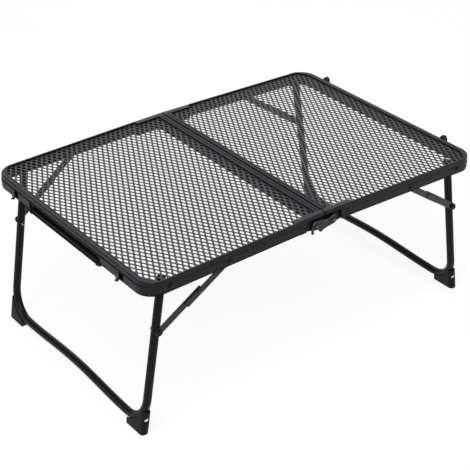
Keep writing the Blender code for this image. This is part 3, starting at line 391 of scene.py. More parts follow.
def carve(piece, cuts, place, sharp=35.0):
    """Cuts closed shapes out of a piece with one exact Boolean and keeps the result."""
    mesh = mesh_of(piece.name + "_cuts", joined(*cuts), place)
    cutter = bpy.data.objects.new(mesh.name, mesh)
    bpy.context.scene.collection.objects.link(cutter)
    boolean = piece.modifiers.new("cuts", "BOOLEAN")
    boolean.operation = "DIFFERENCE"
    boolean.solver = "EXACT"
    boolean.object = cutter
    graph = bpy.context.evaluated_depsgraph_get()
    result = bpy.data.meshes.new_from_object(piece.evaluated_get(graph))
    piece.modifiers.remove(boolean)
    old, piece.data = piece.data, result
    bpy.data.meshes.remove(old)
    bpy.data.objects.remove(cutter)
    tidy(result)
    shade(result, sharp)


def faces_of(piece, place=np.eye(4)):
    """The middles, in millimetres, and the normals of a piece's faces in the place's frame."""
    polygons = piece.data.polygons
    middles, normals = np.empty((2, 3 * len(polygons)))
    polygons.foreach_get("center", middles)
    polygons.foreach_get("normal", normals)
    back = np.linalg.inv(place)
    middles = 1000 * middles.reshape(-1, 3) @ back[:3, :3].T + back[:3, 3]
    return middles, normals.reshape(-1, 3) @ back[:3, :3].T


def paint(piece, finish):
    """Gives each face the finish of that number in the piece's own list."""
    piece.data.polygons.foreach_set("material_index", finish.astype(np.int32))


def paint_outside(piece, end, depth):
    """Gives the faces further than depth, in millimetres, from the middle a second finish."""
    paint(piece, faces_of(piece)[0][:, 1] * end > depth)


# Finishes


def surface(name, metallic, specular):
    """A material with a Principled shader, and its node tree and shader."""
    material = bpy.data.materials.new(name)
    material.use_nodes = True
    tree = material.node_tree
    shader = tree.nodes["Principled BSDF"]
    shader.inputs["Metallic"].default_value = metallic
    shader.inputs["Specular IOR Level"].default_value = specular
    return material, tree, shader


def mottle(tree, shader, dark, light, millimetres, rough_low, rough_high):
    """Colour and roughness that drift over patches of about the given size.

    Object coordinates are in metres, so a pattern's scale is 1000 / its size in millimetres.
    """
    where = add_node(tree, "ShaderNodeTexCoord").outputs["Object"]
    scales = {"Scale": 1000 / millimetres, "Detail": 4.0, "Roughness": 0.6}
    patches = add_node(tree, NOISE, values=scales, links={"Vector": where}).outputs["Fac"]
    # Sockets 6 and 7 of a Mix node are its two colours, and its output 2 is their mix
    colours = {6: to_linear(dark), 7: to_linear(light)}
    colour = add_node(tree, "ShaderNodeMix", {"data_type": "RGBA"}, colours, {0: patches})
    tree.links.new(colour.outputs[2], shader.inputs["Base Color"])
    span = {"To Min": rough_low, "To Max": rough_high}
    rough = add_node(tree, "ShaderNodeMapRange", values=span, links={"Value": patches})
    tree.links.new(rough.outputs["Result"], shader.inputs["Roughness"])
    return where


def grain(tree, shader, where, kind, millimetres, height):
    """A bump of the given grain size and height, in millimetres."""
    scale, size = {"Scale": 1000 / millimetres}, {"Strength": 0.6, "Distance": height * 0.001}
    texture = add_node(tree, kind, values=scale, links={"Vector": where})
    bump = add_node(tree, "ShaderNodeBump", values=size, links={"Height": texture.outputs[0]})
    tree.links.new(bump.outputs["Normal"], shader.inputs["Normal"])


# Each finish: what it covers, its material's name, dark and light colour, metallic, specular,
# size of its patches in mm, lowest and highest roughness, and its skin: texture, grain in mm
# and height in mm
FINISHES = {
    # Polyester powder coat on steel: satin charcoal with an orange-peel skin of 1.2 mm
    "coat": ("Rails", "black_powder_coat", "#131317", "#1b1b21", 0.0, 0.16, 6.0, 0.34, 0.46,
             (NOISE, 1.2, 0.03)),
    # The same coat on the rim's top, painted paler: a painted sheen where the top catches
    # the light from above
    "rim": ("Rim's top", "rubbed_rim_coat", "#17171b", "#222228", 0.0, 0.22, 3.0, 0.3, 0.44,
            (NOISE, 1.2, 0.03)),
    # Painted shade: the coat painted darker and duller on a rail's inside faces and on its
    # foot, where shade falls
    "inside": ("Rails' inside", "painted_shade_coat", "#070708", "#0d0d0f", 0.0, 0.06, 5.0,
               0.55, 0.7, (NOISE, 1.2, 0.03)),
    # Glossier black coat on the bent tubes, which shows a soft highlight. On the hinge leaves
    # it is painted shade for their recess, and in a brace bolt's dished tail for its hole
    "tube": ("Legs", "gloss_tube_coat_and_painted_shade", "#09090b", "#111114", 0.0, 0.14, 8.0, 0.3, 0.42,
             (NOISE, 1.5, 0.015)),
    # The coat on expanded steel, painted greyer than the rails' coat: painted light for the
    # white floor's light round its thin strands
    "net": ("Net", "net_powder_coat", "#303035", "#404045", 0.0, 0.25, 3.0, 0.36, 0.5,
            (NOISE, 0.8, 0.03)),
    # Stoved black enamel on pressed steel: glossier than the rails, with faint rubbing
    "enamel": ("Links", "black_stove_enamel", "#1b1b1f", "#29292e", 0.0, 0.3, 4.0, 0.26, 0.4,
               (NOISE, 0.9, 0.02)),
    # The same enamel painted grey: a painted highlight along a hinge link's upper edges
    "rubbed": ("Links' edges", "rubbed_enamel", "#4a4a50", "#6a6a70", 0.0, 0.5, 2.0, 0.26, 0.4,
               None),
    # Injection-moulded black polypropylene with a spark-eroded grain of 0.6 mm
    "plastic": ("Plastic", "black_moulded_polypropylene", "#0d0d0f", "#151517", 0.0, 0.12, 5.0,
                0.42, 0.56, (CELLS, 0.6, 0.03)),
    # Bright zinc plate on steel rivets: grey metal with a slightly streaked polish
    "zinc": ("Rivets", "bright_zinc_plate", "#a9abae", "#d2d4d6", 1.0, 0.5, 1.5, 0.2, 0.36,
             (NOISE, 0.5, 0.01)),
}
# The materials made so far, by finish
MADE = {}


def finish_named(key):
    """The material of that finish, in the colours that the scene's settings give it."""
    if key not in MADE:
        _, name, _, _, metallic, specular, patches, low, high, skin = FINISHES[key]
        colours = bpy.context.scene.camp_table_finishes
        dark, light = getattr(colours, key + "_dark"), getattr(colours, key + "_light")
        MADE[key], tree, shader = surface(name, metallic, specular)
        where = mottle(tree, shader, dark, light, patches, low, high)
        if skin:
            grain(tree, shader, where, *skin)
    return MADE[key]


def colour_setting(label, tone, default):
    """A setting for one colour of a finish."""
    return bpy.props.StringProperty(
        name=f"{label}, {tone}",
        description=f"Colour of the {tone} patches, as sRGB hex",
        default=default,
    )


class TableFinishes(bpy.types.PropertyGroup):
    """Colours of the table's finishes, as sRGB hex."""

    __annotations__ = {
        f"{key}_{tone}": colour_setting(row[0], tone, row[number])
        for key, row in FINISHES.items()
        for tone, number in (("dark", 2), ("light", 3))
    }


class NetSizes(bpy.types.PropertyGroup):
    """Sizes of the expanded net, in millimetres."""

    pitch_long: bpy.props.FloatProperty(
        name="Pitch across", description="Diamond pitch along the width", default=15.8, min=8.0
    )
    pitch_short: bpy.props.FloatProperty(
        name="Pitch lengthways", description="Diamond pitch along the length", default=8.8, min=5.0
    )
    strand: bpy.props.FloatProperty(
        name="Strand width", description="Width of one strand", default=3.15, min=0.5
    )


class StageSizes(bpy.types.PropertyGroup):
    """Floor, light and camera."""

    floor_reach: bpy.props.FloatProperty(
        name="Floor", description="Half the floor's side", default=12.0, unit="LENGTH"
    )
    key_power: bpy.props.FloatProperty(
        name="Key light", description="Power of the large light", default=50.0, unit="POWER"
    )
    fill_power: bpy.props.FloatProperty(
        name="Fill light", description="Power of the fill light", default=30.0, unit="POWER"
    )
    lens: bpy.props.FloatProperty(
        name="Lens", description="Focal length", default=100.0, unit="CAMERA"
    )


# The top


def rail_section(bend, width):
    """The rail's outline, outwards and up from its middle at the rim's top.

    On the long sides (bend 0) the groove is shallow. On the end rails (bend 1) the rim is set
    back above a deeper groove, and its top has a crease along the inner edge. The foot of the
    skirt is set back all round. Each row is out, up and the corner's rounding.
    """
    half = RAIL_WIDTH / 2
    inner = half - width
    groove_top, groove_foot = -RIM_HEIGHT + 0.5, -RIM_HEIGHT - GROOVE_HEIGHT - 0.2
    face = half - 0.01 - RIM_SETBACK * bend
    floor = half - LONG_GROOVE - (END_GROOVE - LONG_GROOVE) * bend
    ridge = inner + np.array([0.34, 0.29, 0.24]) * width
    rows = np.array([
        (half - FOOT_SETBACK, -RAIL_HEIGHT, 0.5),
        (half - FOOT_SETBACK, FOOT_HEIGHT - RAIL_HEIGHT, 0.2),
        (half, FOOT_HEIGHT + 0.5 - RAIL_HEIGHT, 0.3),
        (half, groove_foot, 0.9), (floor, groove_foot + 0.6, 0.3),
        (floor, groove_top - 0.5, 0.3), (face, groove_top, 0.6), (face, 0, 1.8),
        (ridge[0], 0, 0.3), (ridge[1], -0.005 - CREASE * bend, 0.2), (ridge[2], 0, 0.3),
        (inner, 0, 1.6), (inner, -RAIL_HEIGHT, 0.5),
    ])
    return fillet(rows[:, :2], rows[:, 2], 6)


def rail_sections(path, outward):
    """Sections along the rail: bend = 3t² - 2t³ as the rail's outward side swings to the end.

    The rail is a thin wall along the long sides, and a full box round the ends and the hinge.
    """
    t = np.clip(np.abs(outward[:, 0]) * 1.15, 0, 1)
    bends = t**2 * (3 - 2 * t)
    widths = WALL + (RAIL_WIDTH - WALL) * bends
    widths[path[:, 0] <= WALL_START] = RAIL_WIDTH
    return np.array([rail_section(bend, width) for bend, width in zip(bends, widths)])


def rail_path(steps=22):
    """The rail's middle round one half, and the outward direction at each point.

    Round a corner the point is the corner's centre + r (cos a, sin a), which is also outward.
    """
    far, wide = HALF_LENGTH - RAIL_WIDTH / 2, HALF_WIDTH - RAIL_WIDTH / 2
    radius = CORNER_RADIUS - RAIL_WIDTH / 2
    turns = np.radians(np.concatenate([np.linspace(-90, 0, steps), np.linspace(0, 90, steps)]))
    outward = np.stack([np.cos(turns), np.sin(turns), 0 * turns], axis=-1)
    middle_y = np.repeat([radius - wide, wide - radius], steps)
    middles = np.stack([np.full(2 * steps, far - radius), middle_y, 0 * turns], axis=-1)
    near = np.array([[x, -wide, 0] for x in (CENTRE_GAP, WALL_START, WALL_START + 2)])
    path = np.concatenate([near, middles + radius * outward, near[::-1] * [1, -1, 1]])
    straight = np.repeat([[0, -1.0, 0]], 3, 0)
    return path, np.concatenate([straight, outward, -straight])


def rail_cuts(side):
    """What is cut out of a rail: the hinge recesses and the left end rail's seats."""
    low, bend = -RAIL_HEIGHT - 1, HINGE_RECESS_TOP - RECESS_TOP
    recess = np.concatenate([
        [(-1, low), (-1, HINGE_RECESS_TOP)],
        arc(OPEN_RECESS[side] - bend, RECESS_TOP, bend, 90, 0, 9),
        [(LEAF_END + GAP, RECESS_TOP), (LEAF_END + GAP, low)],
    ])
    cuts = [slab(recess, end * HINGE_WEB, end * (HALF_WIDTH + 1)) for _, end in ENDS]
    if side < 0:
        past, reach = HALF_LENGTH + 1, HANDLE_HALF + 2 * GAP
        # The handle's seat, then for each catch the slot beside it and its own seat
        cuts.append(box((HALF_LENGTH - 7.4, HANDLE_MIDDLE - reach, low),
                        (past, HANDLE_MIDDLE + reach, RECESS_TOP)))
        for y in LATCH_PLACES.values():
            cuts.append(box((HALF_LENGTH - 6, y - 16.5, -19), (past, y - 5, -8.1)))
            cuts.append(box((HALF_LENGTH - 1.8, y - 3.8, low), (past, y + 3.8, -9.2)))
    return [side_shape(cut, side) for cut in cuts]


class CAMPTABLE_OT_rails(bpy.types.Operator):
    """Bends the outer rails, lays the centre rails and cuts the rails' recesses"""

    bl_idname = "camptable.rails"
    bl_label = "Rails"

    def execute(self, context):
        path, outward = rail_path()
        bent = sweep(path, outward, rail_sections(path, outward))
        low, high = CENTRE_GAP, CENTRE_GAP + RAIL_WIDTH
        section = fillet(
            [(low, 0), (low, -RAIL_HEIGHT), (high, -RAIL_HEIGHT), (high, 0),
             (high - 4.6, 0), (high - 5.3, -0.9), (high - 6.0, 0)],
            [1.4, 0.8, 0.8, 1.6, 0.5, 0.3, 0.5],
        )
        straight = straight_bar(section, RAIL_INSIDE - GAP)
        for name, side in SIDES:
            place, body = half_place(name, side), name + "_half"
            piece = add_piece(name + "_rim_rail", side_shape(bent, side), place, body,
                              name + "_frame", "coat inside rim")
            carve(piece, rail_cuts(side), place)
            # The rim rail: painted shade inside and on its foot, and a painted sheen on its top
            paint_rail(piece, place, side, 2)
            piece = add_piece(name + "_middle_rail", side_shape(straight, side), place, body,
                              name + "_centre_rail", "coat inside")
            # The middle rail gets painted shade inside and on its foot
            paint_rail(piece, place, side, 0)
        return {"FINISHED"}


def paint_rail(piece, place, side, top_finish):
    """Gives a rail its second finish, a painted shade, inside and on its foot, and the given one
    on its top.

    Inside are the faces under the net that look towards the half's middle.
    """
    middles, normals = faces_of(piece, place)
    outward = middles[:, :2] - [side * HALF_LENGTH / 2, 0]
    # Each rail runs along x or y, so only the larger part of a face's normal tells its side
    reach = np.abs(np.where(np.abs(normals[:, :2]) > 0.5, outward, 0)).max(axis=1)
    facing_in = (normals[:, :2] * outward).sum(axis=1) < -0.5 * reach
    inside = facing_in & (middles[:, 2] < NET_TOP) & (np.abs(normals[:, 2]) < 0.5)
    foot = middles[:, 2] < FOOT_HEIGHT - RAIL_HEIGHT
    top = (middles[:, 2] > -0.9) & (normals[:, 2] > 0.7)
    # Painted shade inside and on the foot; a top_finish of 2 gives the rim's top a painted sheen
    paint(piece, (inside | foot) + top_finish * top)


def net_shape(sizes, near, far, wide):
    """Expanded net: round-cornered diamond holes on two staggered grids.

    A hole's ring is |x/a|^p + |y/b|^p = 1 at twelve angles, with p = 1 on the line halfway to
    its neighbours, where the rings of neighbouring holes meet, and p = 1.35 at the hole.
    """
    half = np.array([sizes.pitch_short / 2, sizes.pitch_long / 2])
    columns = math.ceil((far - near) / sizes.pitch_short) + 2
    rows = math.ceil(2 * wide / sizes.pitch_long) + 2
    i, j = np.meshgrid(np.arange(-columns, columns), np.arange(-rows, rows))
    grid = np.stack([i.ravel(), j.ravel()], axis=-1).astype(float)
    middle = np.array([(near + far) / 2, 0.0])
    centres = np.concatenate([grid, grid + 0.5]) * half * 2 + middle
    keep = (centres[:, 0] > near - half[0]) & (centres[:, 0] < far + half[0])
    keep &= np.abs(centres[:, 1]) < wide + half[1]
    centres = centres[keep]
    angles = np.linspace(0, math.tau, NET_CORNERS, endpoint=False)
    circle = np.stack([np.cos(angles), np.sin(angles)], axis=-1)

    def ring(power, scale, height):
        reach = (np.abs(circle) ** power).sum(axis=1) ** (-1 / power)
        plan = circle * reach[:, None] * half * scale
        return np.column_stack([plan, np.full(NET_CORNERS, height)])

    # How far a diamond's sides lie from its middle, then the hole's and its lip's share of it
    across = half[0] * half[1] / math.hypot(*half)
    hole = 1 - sizes.strand / 2 / across
    lip = hole + NET_ROUNDING / across
    foot = NET_TOP - NET_THICKNESS
    rings = np.array([
        ring(1.0, 1.0, NET_TOP), ring(1.3, lip, NET_TOP - 0.04),
        ring(1.35, hole, NET_TOP - NET_ROUNDING), ring(1.35, hole, foot + NET_ROUNDING),
        ring(1.3, lip, foot + 0.04), ring(1.0, 1.0, foot),
    ])
    offsets = np.column_stack([centres, np.zeros(len(centres))])
    points = rings[None] + offsets[:, None, None, :]
    quads = np.array(loop_quads(len(rings), NET_CORNERS))
    starts = np.arange(len(centres))[:, None, None] * len(rings) * NET_CORNERS
    return points.reshape(-1, 3), (quads[None] + starts).reshape(-1, 4).tolist()


def trimmed_net(shape, near, far, wide):
    """The net cut at its four sides and across its outer corners, the cut strands closed."""
    points, faces = shape
    mesh = bpy.data.meshes.new("net_blank")
    mesh.from_pydata(points, [], faces)
    work = bmesh.new()
    work.from_mesh(mesh)
    bpy.data.meshes.remove(mesh)
    bmesh.ops.remove_doubles(work, verts=work.verts, dist=0.002)
    cuts = [((near, 0, 0), (-1, 0, 0)), ((far, 0, 0), (1, 0, 0)),
            ((0, -wide, 0), (0, -1, 0)), ((0, wide, 0), (0, 1, 0))]
    for angle in np.radians([30, 45, 60, 75]):
        for _, end in ENDS:
            normal = np.array([math.cos(angle), end * math.sin(angle), 0])
            middle = (HALF_LENGTH - CORNER_RADIUS, end * (HALF_WIDTH - CORNER_RADIUS), 0)
            cuts.append((tuple(middle + (CORNER_RADIUS - WALL) * normal), tuple(normal)))
    for place, normal in cuts:
        everything = work.verts[:] + work.edges[:] + work.faces[:]
        bmesh.ops.bisect_plane(work, geom=everything, dist=0.0005, plane_co=place,
                               plane_no=normal, clear_outer=True)
        loose = [edge for edge in work.edges if edge.is_boundary]
        bmesh.ops.holes_fill(work, edges=loose, sides=0)
    work.verts.index_update()
    points = np.array([vert.co[:] for vert in work.verts])
    faces = [[vert.index for vert in face.verts] for face in work.faces]
    work.free()
    return points, faces


class CAMPTABLE_OT_nets(bpy.types.Operator):
    """Expands the two nets and trims them where they run into the rails"""

    bl_idname = "camptable.nets"
    bl_label = "Nets"

    def execute(self, context):
        sizes = context.scene.camp_table_net
        near = CENTRE_GAP + RAIL_WIDTH - 0.5
        far, wide = HALF_LENGTH - RAIL_WIDTH + 0.5, WALL_INSIDE + 0.3
        net = trimmed_net(net_shape(sizes, near, far, wide), near, far, wide)
        for name, side in SIDES:
            # The net's coat is painted greyer: painted light round its strands
            add_piece(name + "_expanded_net", side_shape(net, side), half_place(name, side),
                      name + "_half", name + "_mesh", "net", 50.0)
        return {"FINISHED"}


# Legs


def leg_rings(sides=28):
    """Circles along the leg's middle line: down, round a bend, along the arched bar and up.

    Each end turns in over a rounded lip and runs 8 mm down inside, as an open tube does. A
    ring's point at angle a is (r cos a, line + r sin a * normal).
    """
    low = -SOLE_DROP + LEG_STAND
    corner_y, corner_z = LEG_Y - LEG_BEND, low + LEG_BEND
    bend = arc(corner_y, corner_z, LEG_BEND, 0, -90, 26)
    y = np.linspace(corner_y, -corner_y, 33)[1:-1]
    rise = LEG_ARCH / 2 * (1 + np.cos(math.pi * y / corner_y))
    bar = np.column_stack([y, low + rise])
    half = np.concatenate([[[LEG_Y, LEG_TOP - 0.4]], bend])
    line = np.concatenate([half, bar, half[::-1] * [-1, 1]])
    tangent = unit(np.gradient(line, axis=0))
    normal = np.stack([-tangent[:, 1], tangent[:, 0]], axis=-1)
    lips = [(LEG_TOP - 8, 4.9), (LEG_TOP, 4.9), (LEG_TOP, 5.6), (LEG_TOP - 0.12, 5.88)]
    radius = np.concatenate([[r for _, r in lips], np.full(len(line), LEG_RADIUS)])
    radius = np.concatenate([radius, [r for _, r in lips[::-1]]])
    start = np.array([(LEG_Y, z) for z, _ in lips])
    line = np.concatenate([start, line, start[::-1] * [-1, 1]])
    normal = np.concatenate([np.repeat(normal[:1], 4, 0), normal, np.repeat(normal[-1:], 4, 0)])
    angles = np.linspace(0, math.tau, sides, endpoint=False)
    side, lift = radius[:, None] * np.cos(angles), radius[:, None] * np.sin(angles)
    y, z = line.T[:, :, None] + lift * normal.T[:, :, None]
    return np.stack([side, y, z], axis=-1)


def boot_rings(side, end):
    """Plan outlines of a boot at rising heights, in the leg's frame.

    Outside: a half circle as wide as the boot. Inside: the toe's end, or higher up the saddle
    round the tube, at 42 + sqrt(6.3² - x²) from the bend's centre and 45 beside the tube.
    """
    width, length, height, saddle = 6.8, 39.0, 37.0, LEG_BEND + LEG_RADIUS - 3.0
    outer = LEG_Y + LEG_RADIUS
    sole = -SOLE_DROP
    centre_y, centre_z = LEG_Y - LEG_BEND, sole + LEG_STAND + LEG_BEND
    lift = np.array([0.0, 0.25, 0.9, 2.0, 4, 6, 7.6, 8.6, 9.4, 10.2, 11.5, 13.5, 16, 19, 22, 25,
                     28, 31, 33.5, 35.2, 36.2, 36.8, height])
    # The boot draws in at its sole and at its top
    draw_in = np.interp(lift, [0, 0.25, 0.9, 2.0, 35.2, 36.2, 36.8, height],
                        [1, 0.55, 0.15, 0, 0, 0.2, 0.6, 1.1])
    rings = []
    for up, inward in zip(lift, draw_in):
        radius = width - inward
        round_end = arc(0, outer - width, radius, 0, 180, 22)
        x = np.linspace(-radius, radius, 22)
        hug = np.sqrt(np.maximum((LEG_RADIUS + GAP) ** 2 - x**2, 0))
        reach = np.maximum(LEG_BEND + hug, saddle)
        rise = sole + up - centre_z
        along = np.sqrt(np.maximum(reach**2 - rise**2, 0)) + centre_y
        toe = outer - length + inward
        inner = np.maximum(np.maximum(along, toe) + 0.35 * inward, toe)
        inner = np.minimum(inner, outer - width + np.sqrt(np.maximum(radius**2 - x**2, 0)))
        plan = np.concatenate([round_end, np.column_stack([x, inner])])
        floor = -side * plan[:, 0] * math.tan(LEG_SPLAY) * (1 - up / height)
        rings.append(np.column_stack([plan[:, 0], end * plan[:, 1], sole + up + floor]))
    return np.array(rings)


class CAMPTABLE_OT_legs(bpy.types.Operator):
    """Bends the two U legs, plugs their ends and fits the boots, rivets and bolts"""

    bl_idname = "camptable.legs"
    bl_label = "Legs and boots"

    def execute(self, context):
        for name, side in SIDES:
            place, body = leg_place(name, side), name + "_leg"
            tube = add_piece(name + "_u_tube", loft(leg_rings()), place, body,
                             name + "_leg_tube", "tube zinc", 40.0)
            # The sawn ends above the coated wall are bare steel
            paint(tube, faces_of(tube, place)[0][:, 2] > LEG_TOP - 0.25)
            for end_name, end in ENDS:
                self.plug_and_boot(end_name + "_" + name, place, body, side, end)
                self.brace_bolt(end_name + "_" + name, place, body, end)
        return {"FINISHED"}

    def plug_and_boot(self, both, place, body, side, end):
        """The domed plug in the tube's open end, and the boot with its rivet in a bore."""
        plug = turned([(0, 0.5), (2.6, 0.5), (3.4, 0.9), (4.2, 1.35), (4.9, 1.4), (5.4, 1.1),
                       (5.6, 0.6), (5.6, 0.0), (0, 0.0)])
        plug = placed(plug, shift(0, end * LEG_Y, LEG_TOP + GAP))
        add_piece(both + "_end_plug", plug, place, body, both + "_leg_plug", "plastic")
        boot = add_piece(both + "_boot", loft(boot_rings(side, end)), place, body,
                         both + "_foot", "plastic", 30.0)
        seat, rivet_z = LEG_Y + LEG_RADIUS - 3.2, -SOLE_DROP + 23.0
        bore = turned([(0, 8), (4.6, 8), (4.6, 0), (0, 0)], 32)
        carve(boot, [placed(bore, facing(end, 0, seat, rivet_z))], place, 30.0)
        head = placed(turned(dome(3.7, 1.4, 2.0, 11.0)), facing(end, 0, seat + GAP, rivet_z))
        add_piece(both + "_boot_rivet", head, place, body, both + "_foot_rivet", "zinc")

    def brace_bolt(self, both, place, body, end):
        """The bolt that holds a brace to the leg, dark but for the zinc of its hollow tail."""
        outside = LOWER_LINK_Y + 1.5
        inside = LEG_Y - LEG_RADIUS - GAP - outside
        bolt = turned([
            (0, 1.7), (2.4, 1.7), (2.7, 2.1), (4.1, 2.1), (4.6, 1.6), (4.6, 0), (2.0, 0),
            (2.0, inside), (3.6, inside), (3.6, inside - 0.6), (3.0, inside - 0.6),
            (3.0, inside - 1.3), (2.5, inside - 1.6), (1.9, inside - 1.2), (1.8, inside - 0.5),
            (0, inside - 0.5),
        ])
        bolt = placed(bolt, facing(end, 0, outside, -BRACE_DOWN))
        piece = add_piece(both + "_brace_pivot", bolt, place, body, both + "_brace_bolt",
                          "zinc tube")
        # The dish in the tail's middle keeps the dark coat, as painted shade for a hole
        paint_outside(piece, end, outside + inside - 0.7)


# Braces


def link_outline(length, low, high):
    """A link's outline: a round end about its pivot and a square end past the knee.

    low and high are how far the bar reaches below and above the line through its pivots.
    """
    middle, radius = (high - low) / 2, (high + low) / 2
    square = fillet(
        [(0, -low), (length, -low), (length, high), (0, high)], [0.2, 2.2, 2.2, 0.2], 8
    )
    return np.concatenate([arc(0, middle, radius, 90, 270, 20), square])


def pressed_link(outline, side, end, link_y):
    """A link of 1.6 mm steel, leant to the other link by the braces' lean."""
    return standing(outline, 1.6, 0.45, end * link_y, side, -side * end * LINK_LEAN)


def rivet(end, x, head_y, z, steps, inner):
    """A rivet in a rail: a dome outside, its shank with any steps, and a head at inner."""
    tail = [(4.0, inner), (3.6, inner - 0.9), (2.2, inner - 1.4), (0, inner - 1.4)]
    profile = dome(4.0, 1.3, 2.0, 0)[:-2] + steps + [(2.0, inner)] + tail
    return placed(turned(profile), facing(end, x, head_y, z))


class CAMPTABLE_OT_braces(bpy.types.Operator):
    """Presses the links of the four braces and rivets them"""

    bl_idname = "camptable.braces"
    bl_label = "Braces"

    def execute(self, context):
        for name, side in SIDES:
            for end_name, end in ENDS:
                both = end_name + "_" + name
                self.upper_link(both, side, end)
                self.lower_link(both, side, end)
                self.rail_rivets(both, name, side, end)
        return {"FINISHED"}

    def upper_link(self, both, side, end):
        """The link on the rail, and the knee rivet's head outside it."""
        body = both + "_upper_link"
        place = link_place(side, body + "_turn")
        outline = link_outline(UPPER_REACH + UPPER_TONGUE, 5.7, 4.3)
        link = pressed_link(outline, side, end, UPPER_LINK_Y)
        add_piece(both + "_rail_link", link, place, body, body, "enamel")
        knee_x = side * UPPER_REACH * math.cos(LINK_LEAN)
        knee_y = UPPER_LINK_Y - UPPER_REACH * math.sin(LINK_LEAN)
        knee = placed(turned(dome(4.0, 1.0, 2.0, 1.9)), facing(end, knee_x, knee_y + 1.15, 0))
        add_piece(both + "_knee_head", knee, place, body, both + "_knee_rivet",
                  "enamel")

    def lower_link(self, both, side, end):
        """The link on the leg, with the knee rivet's tail inside it."""
        body = both + "_lower_link"
        place = link_place(side, body + "_turn")
        outline = link_outline(LOWER_REACH + LOWER_TONGUE, 5.4, 5.4) * [-1, 1]
        link = pressed_link(outline, side, end, LOWER_LINK_Y)
        knee_x = -side * LOWER_REACH * math.cos(LINK_LEAN)
        knee_y = LOWER_LINK_Y + LOWER_REACH * math.sin(LINK_LEAN)
        tail = turned([(0, 0), (3.0, 0), (3.0, -1.6), (2.4, -2.1), (1.2, -2.2), (0, -1.9)])
        tail = placed(tail, facing(end, knee_x, knee_y, 0))
        add_piece(both + "_leg_link", joined(link, tail), place, body, body, "enamel")

    def rail_rivets(self, both, name, side, end):
        """The leg's and the brace's pivots in the rail, with dark heads."""
        half, body, head = half_place(name, side), name + "_half", HALF_WIDTH + GAP
        spacer_out, spacer_in = WALL_INSIDE - GAP - head, LEG_Y + LEG_RADIUS + GAP - head
        spacer = [(2.0, spacer_out), (5.0, spacer_out), (5.0, spacer_in), (2.0, spacer_in)]
        leg = rivet(end, side * LEG_OUT, head, -LEG_DEPTH, spacer,
                    LEG_Y - LEG_RADIUS - GAP - head)
        add_piece(both + "_leg_pivot", leg, half, body, both + "_leg_rivet", "tube")
        brace = rivet(end, side * BRACE_OUT, head, -BRACE_DEPTH, [], UPPER_LINK_Y - 1.5 - head)
        add_piece(both + "_brace_head", brace, half, body, both + "_brace_rivet",
                  "tube")


# Centre hinge


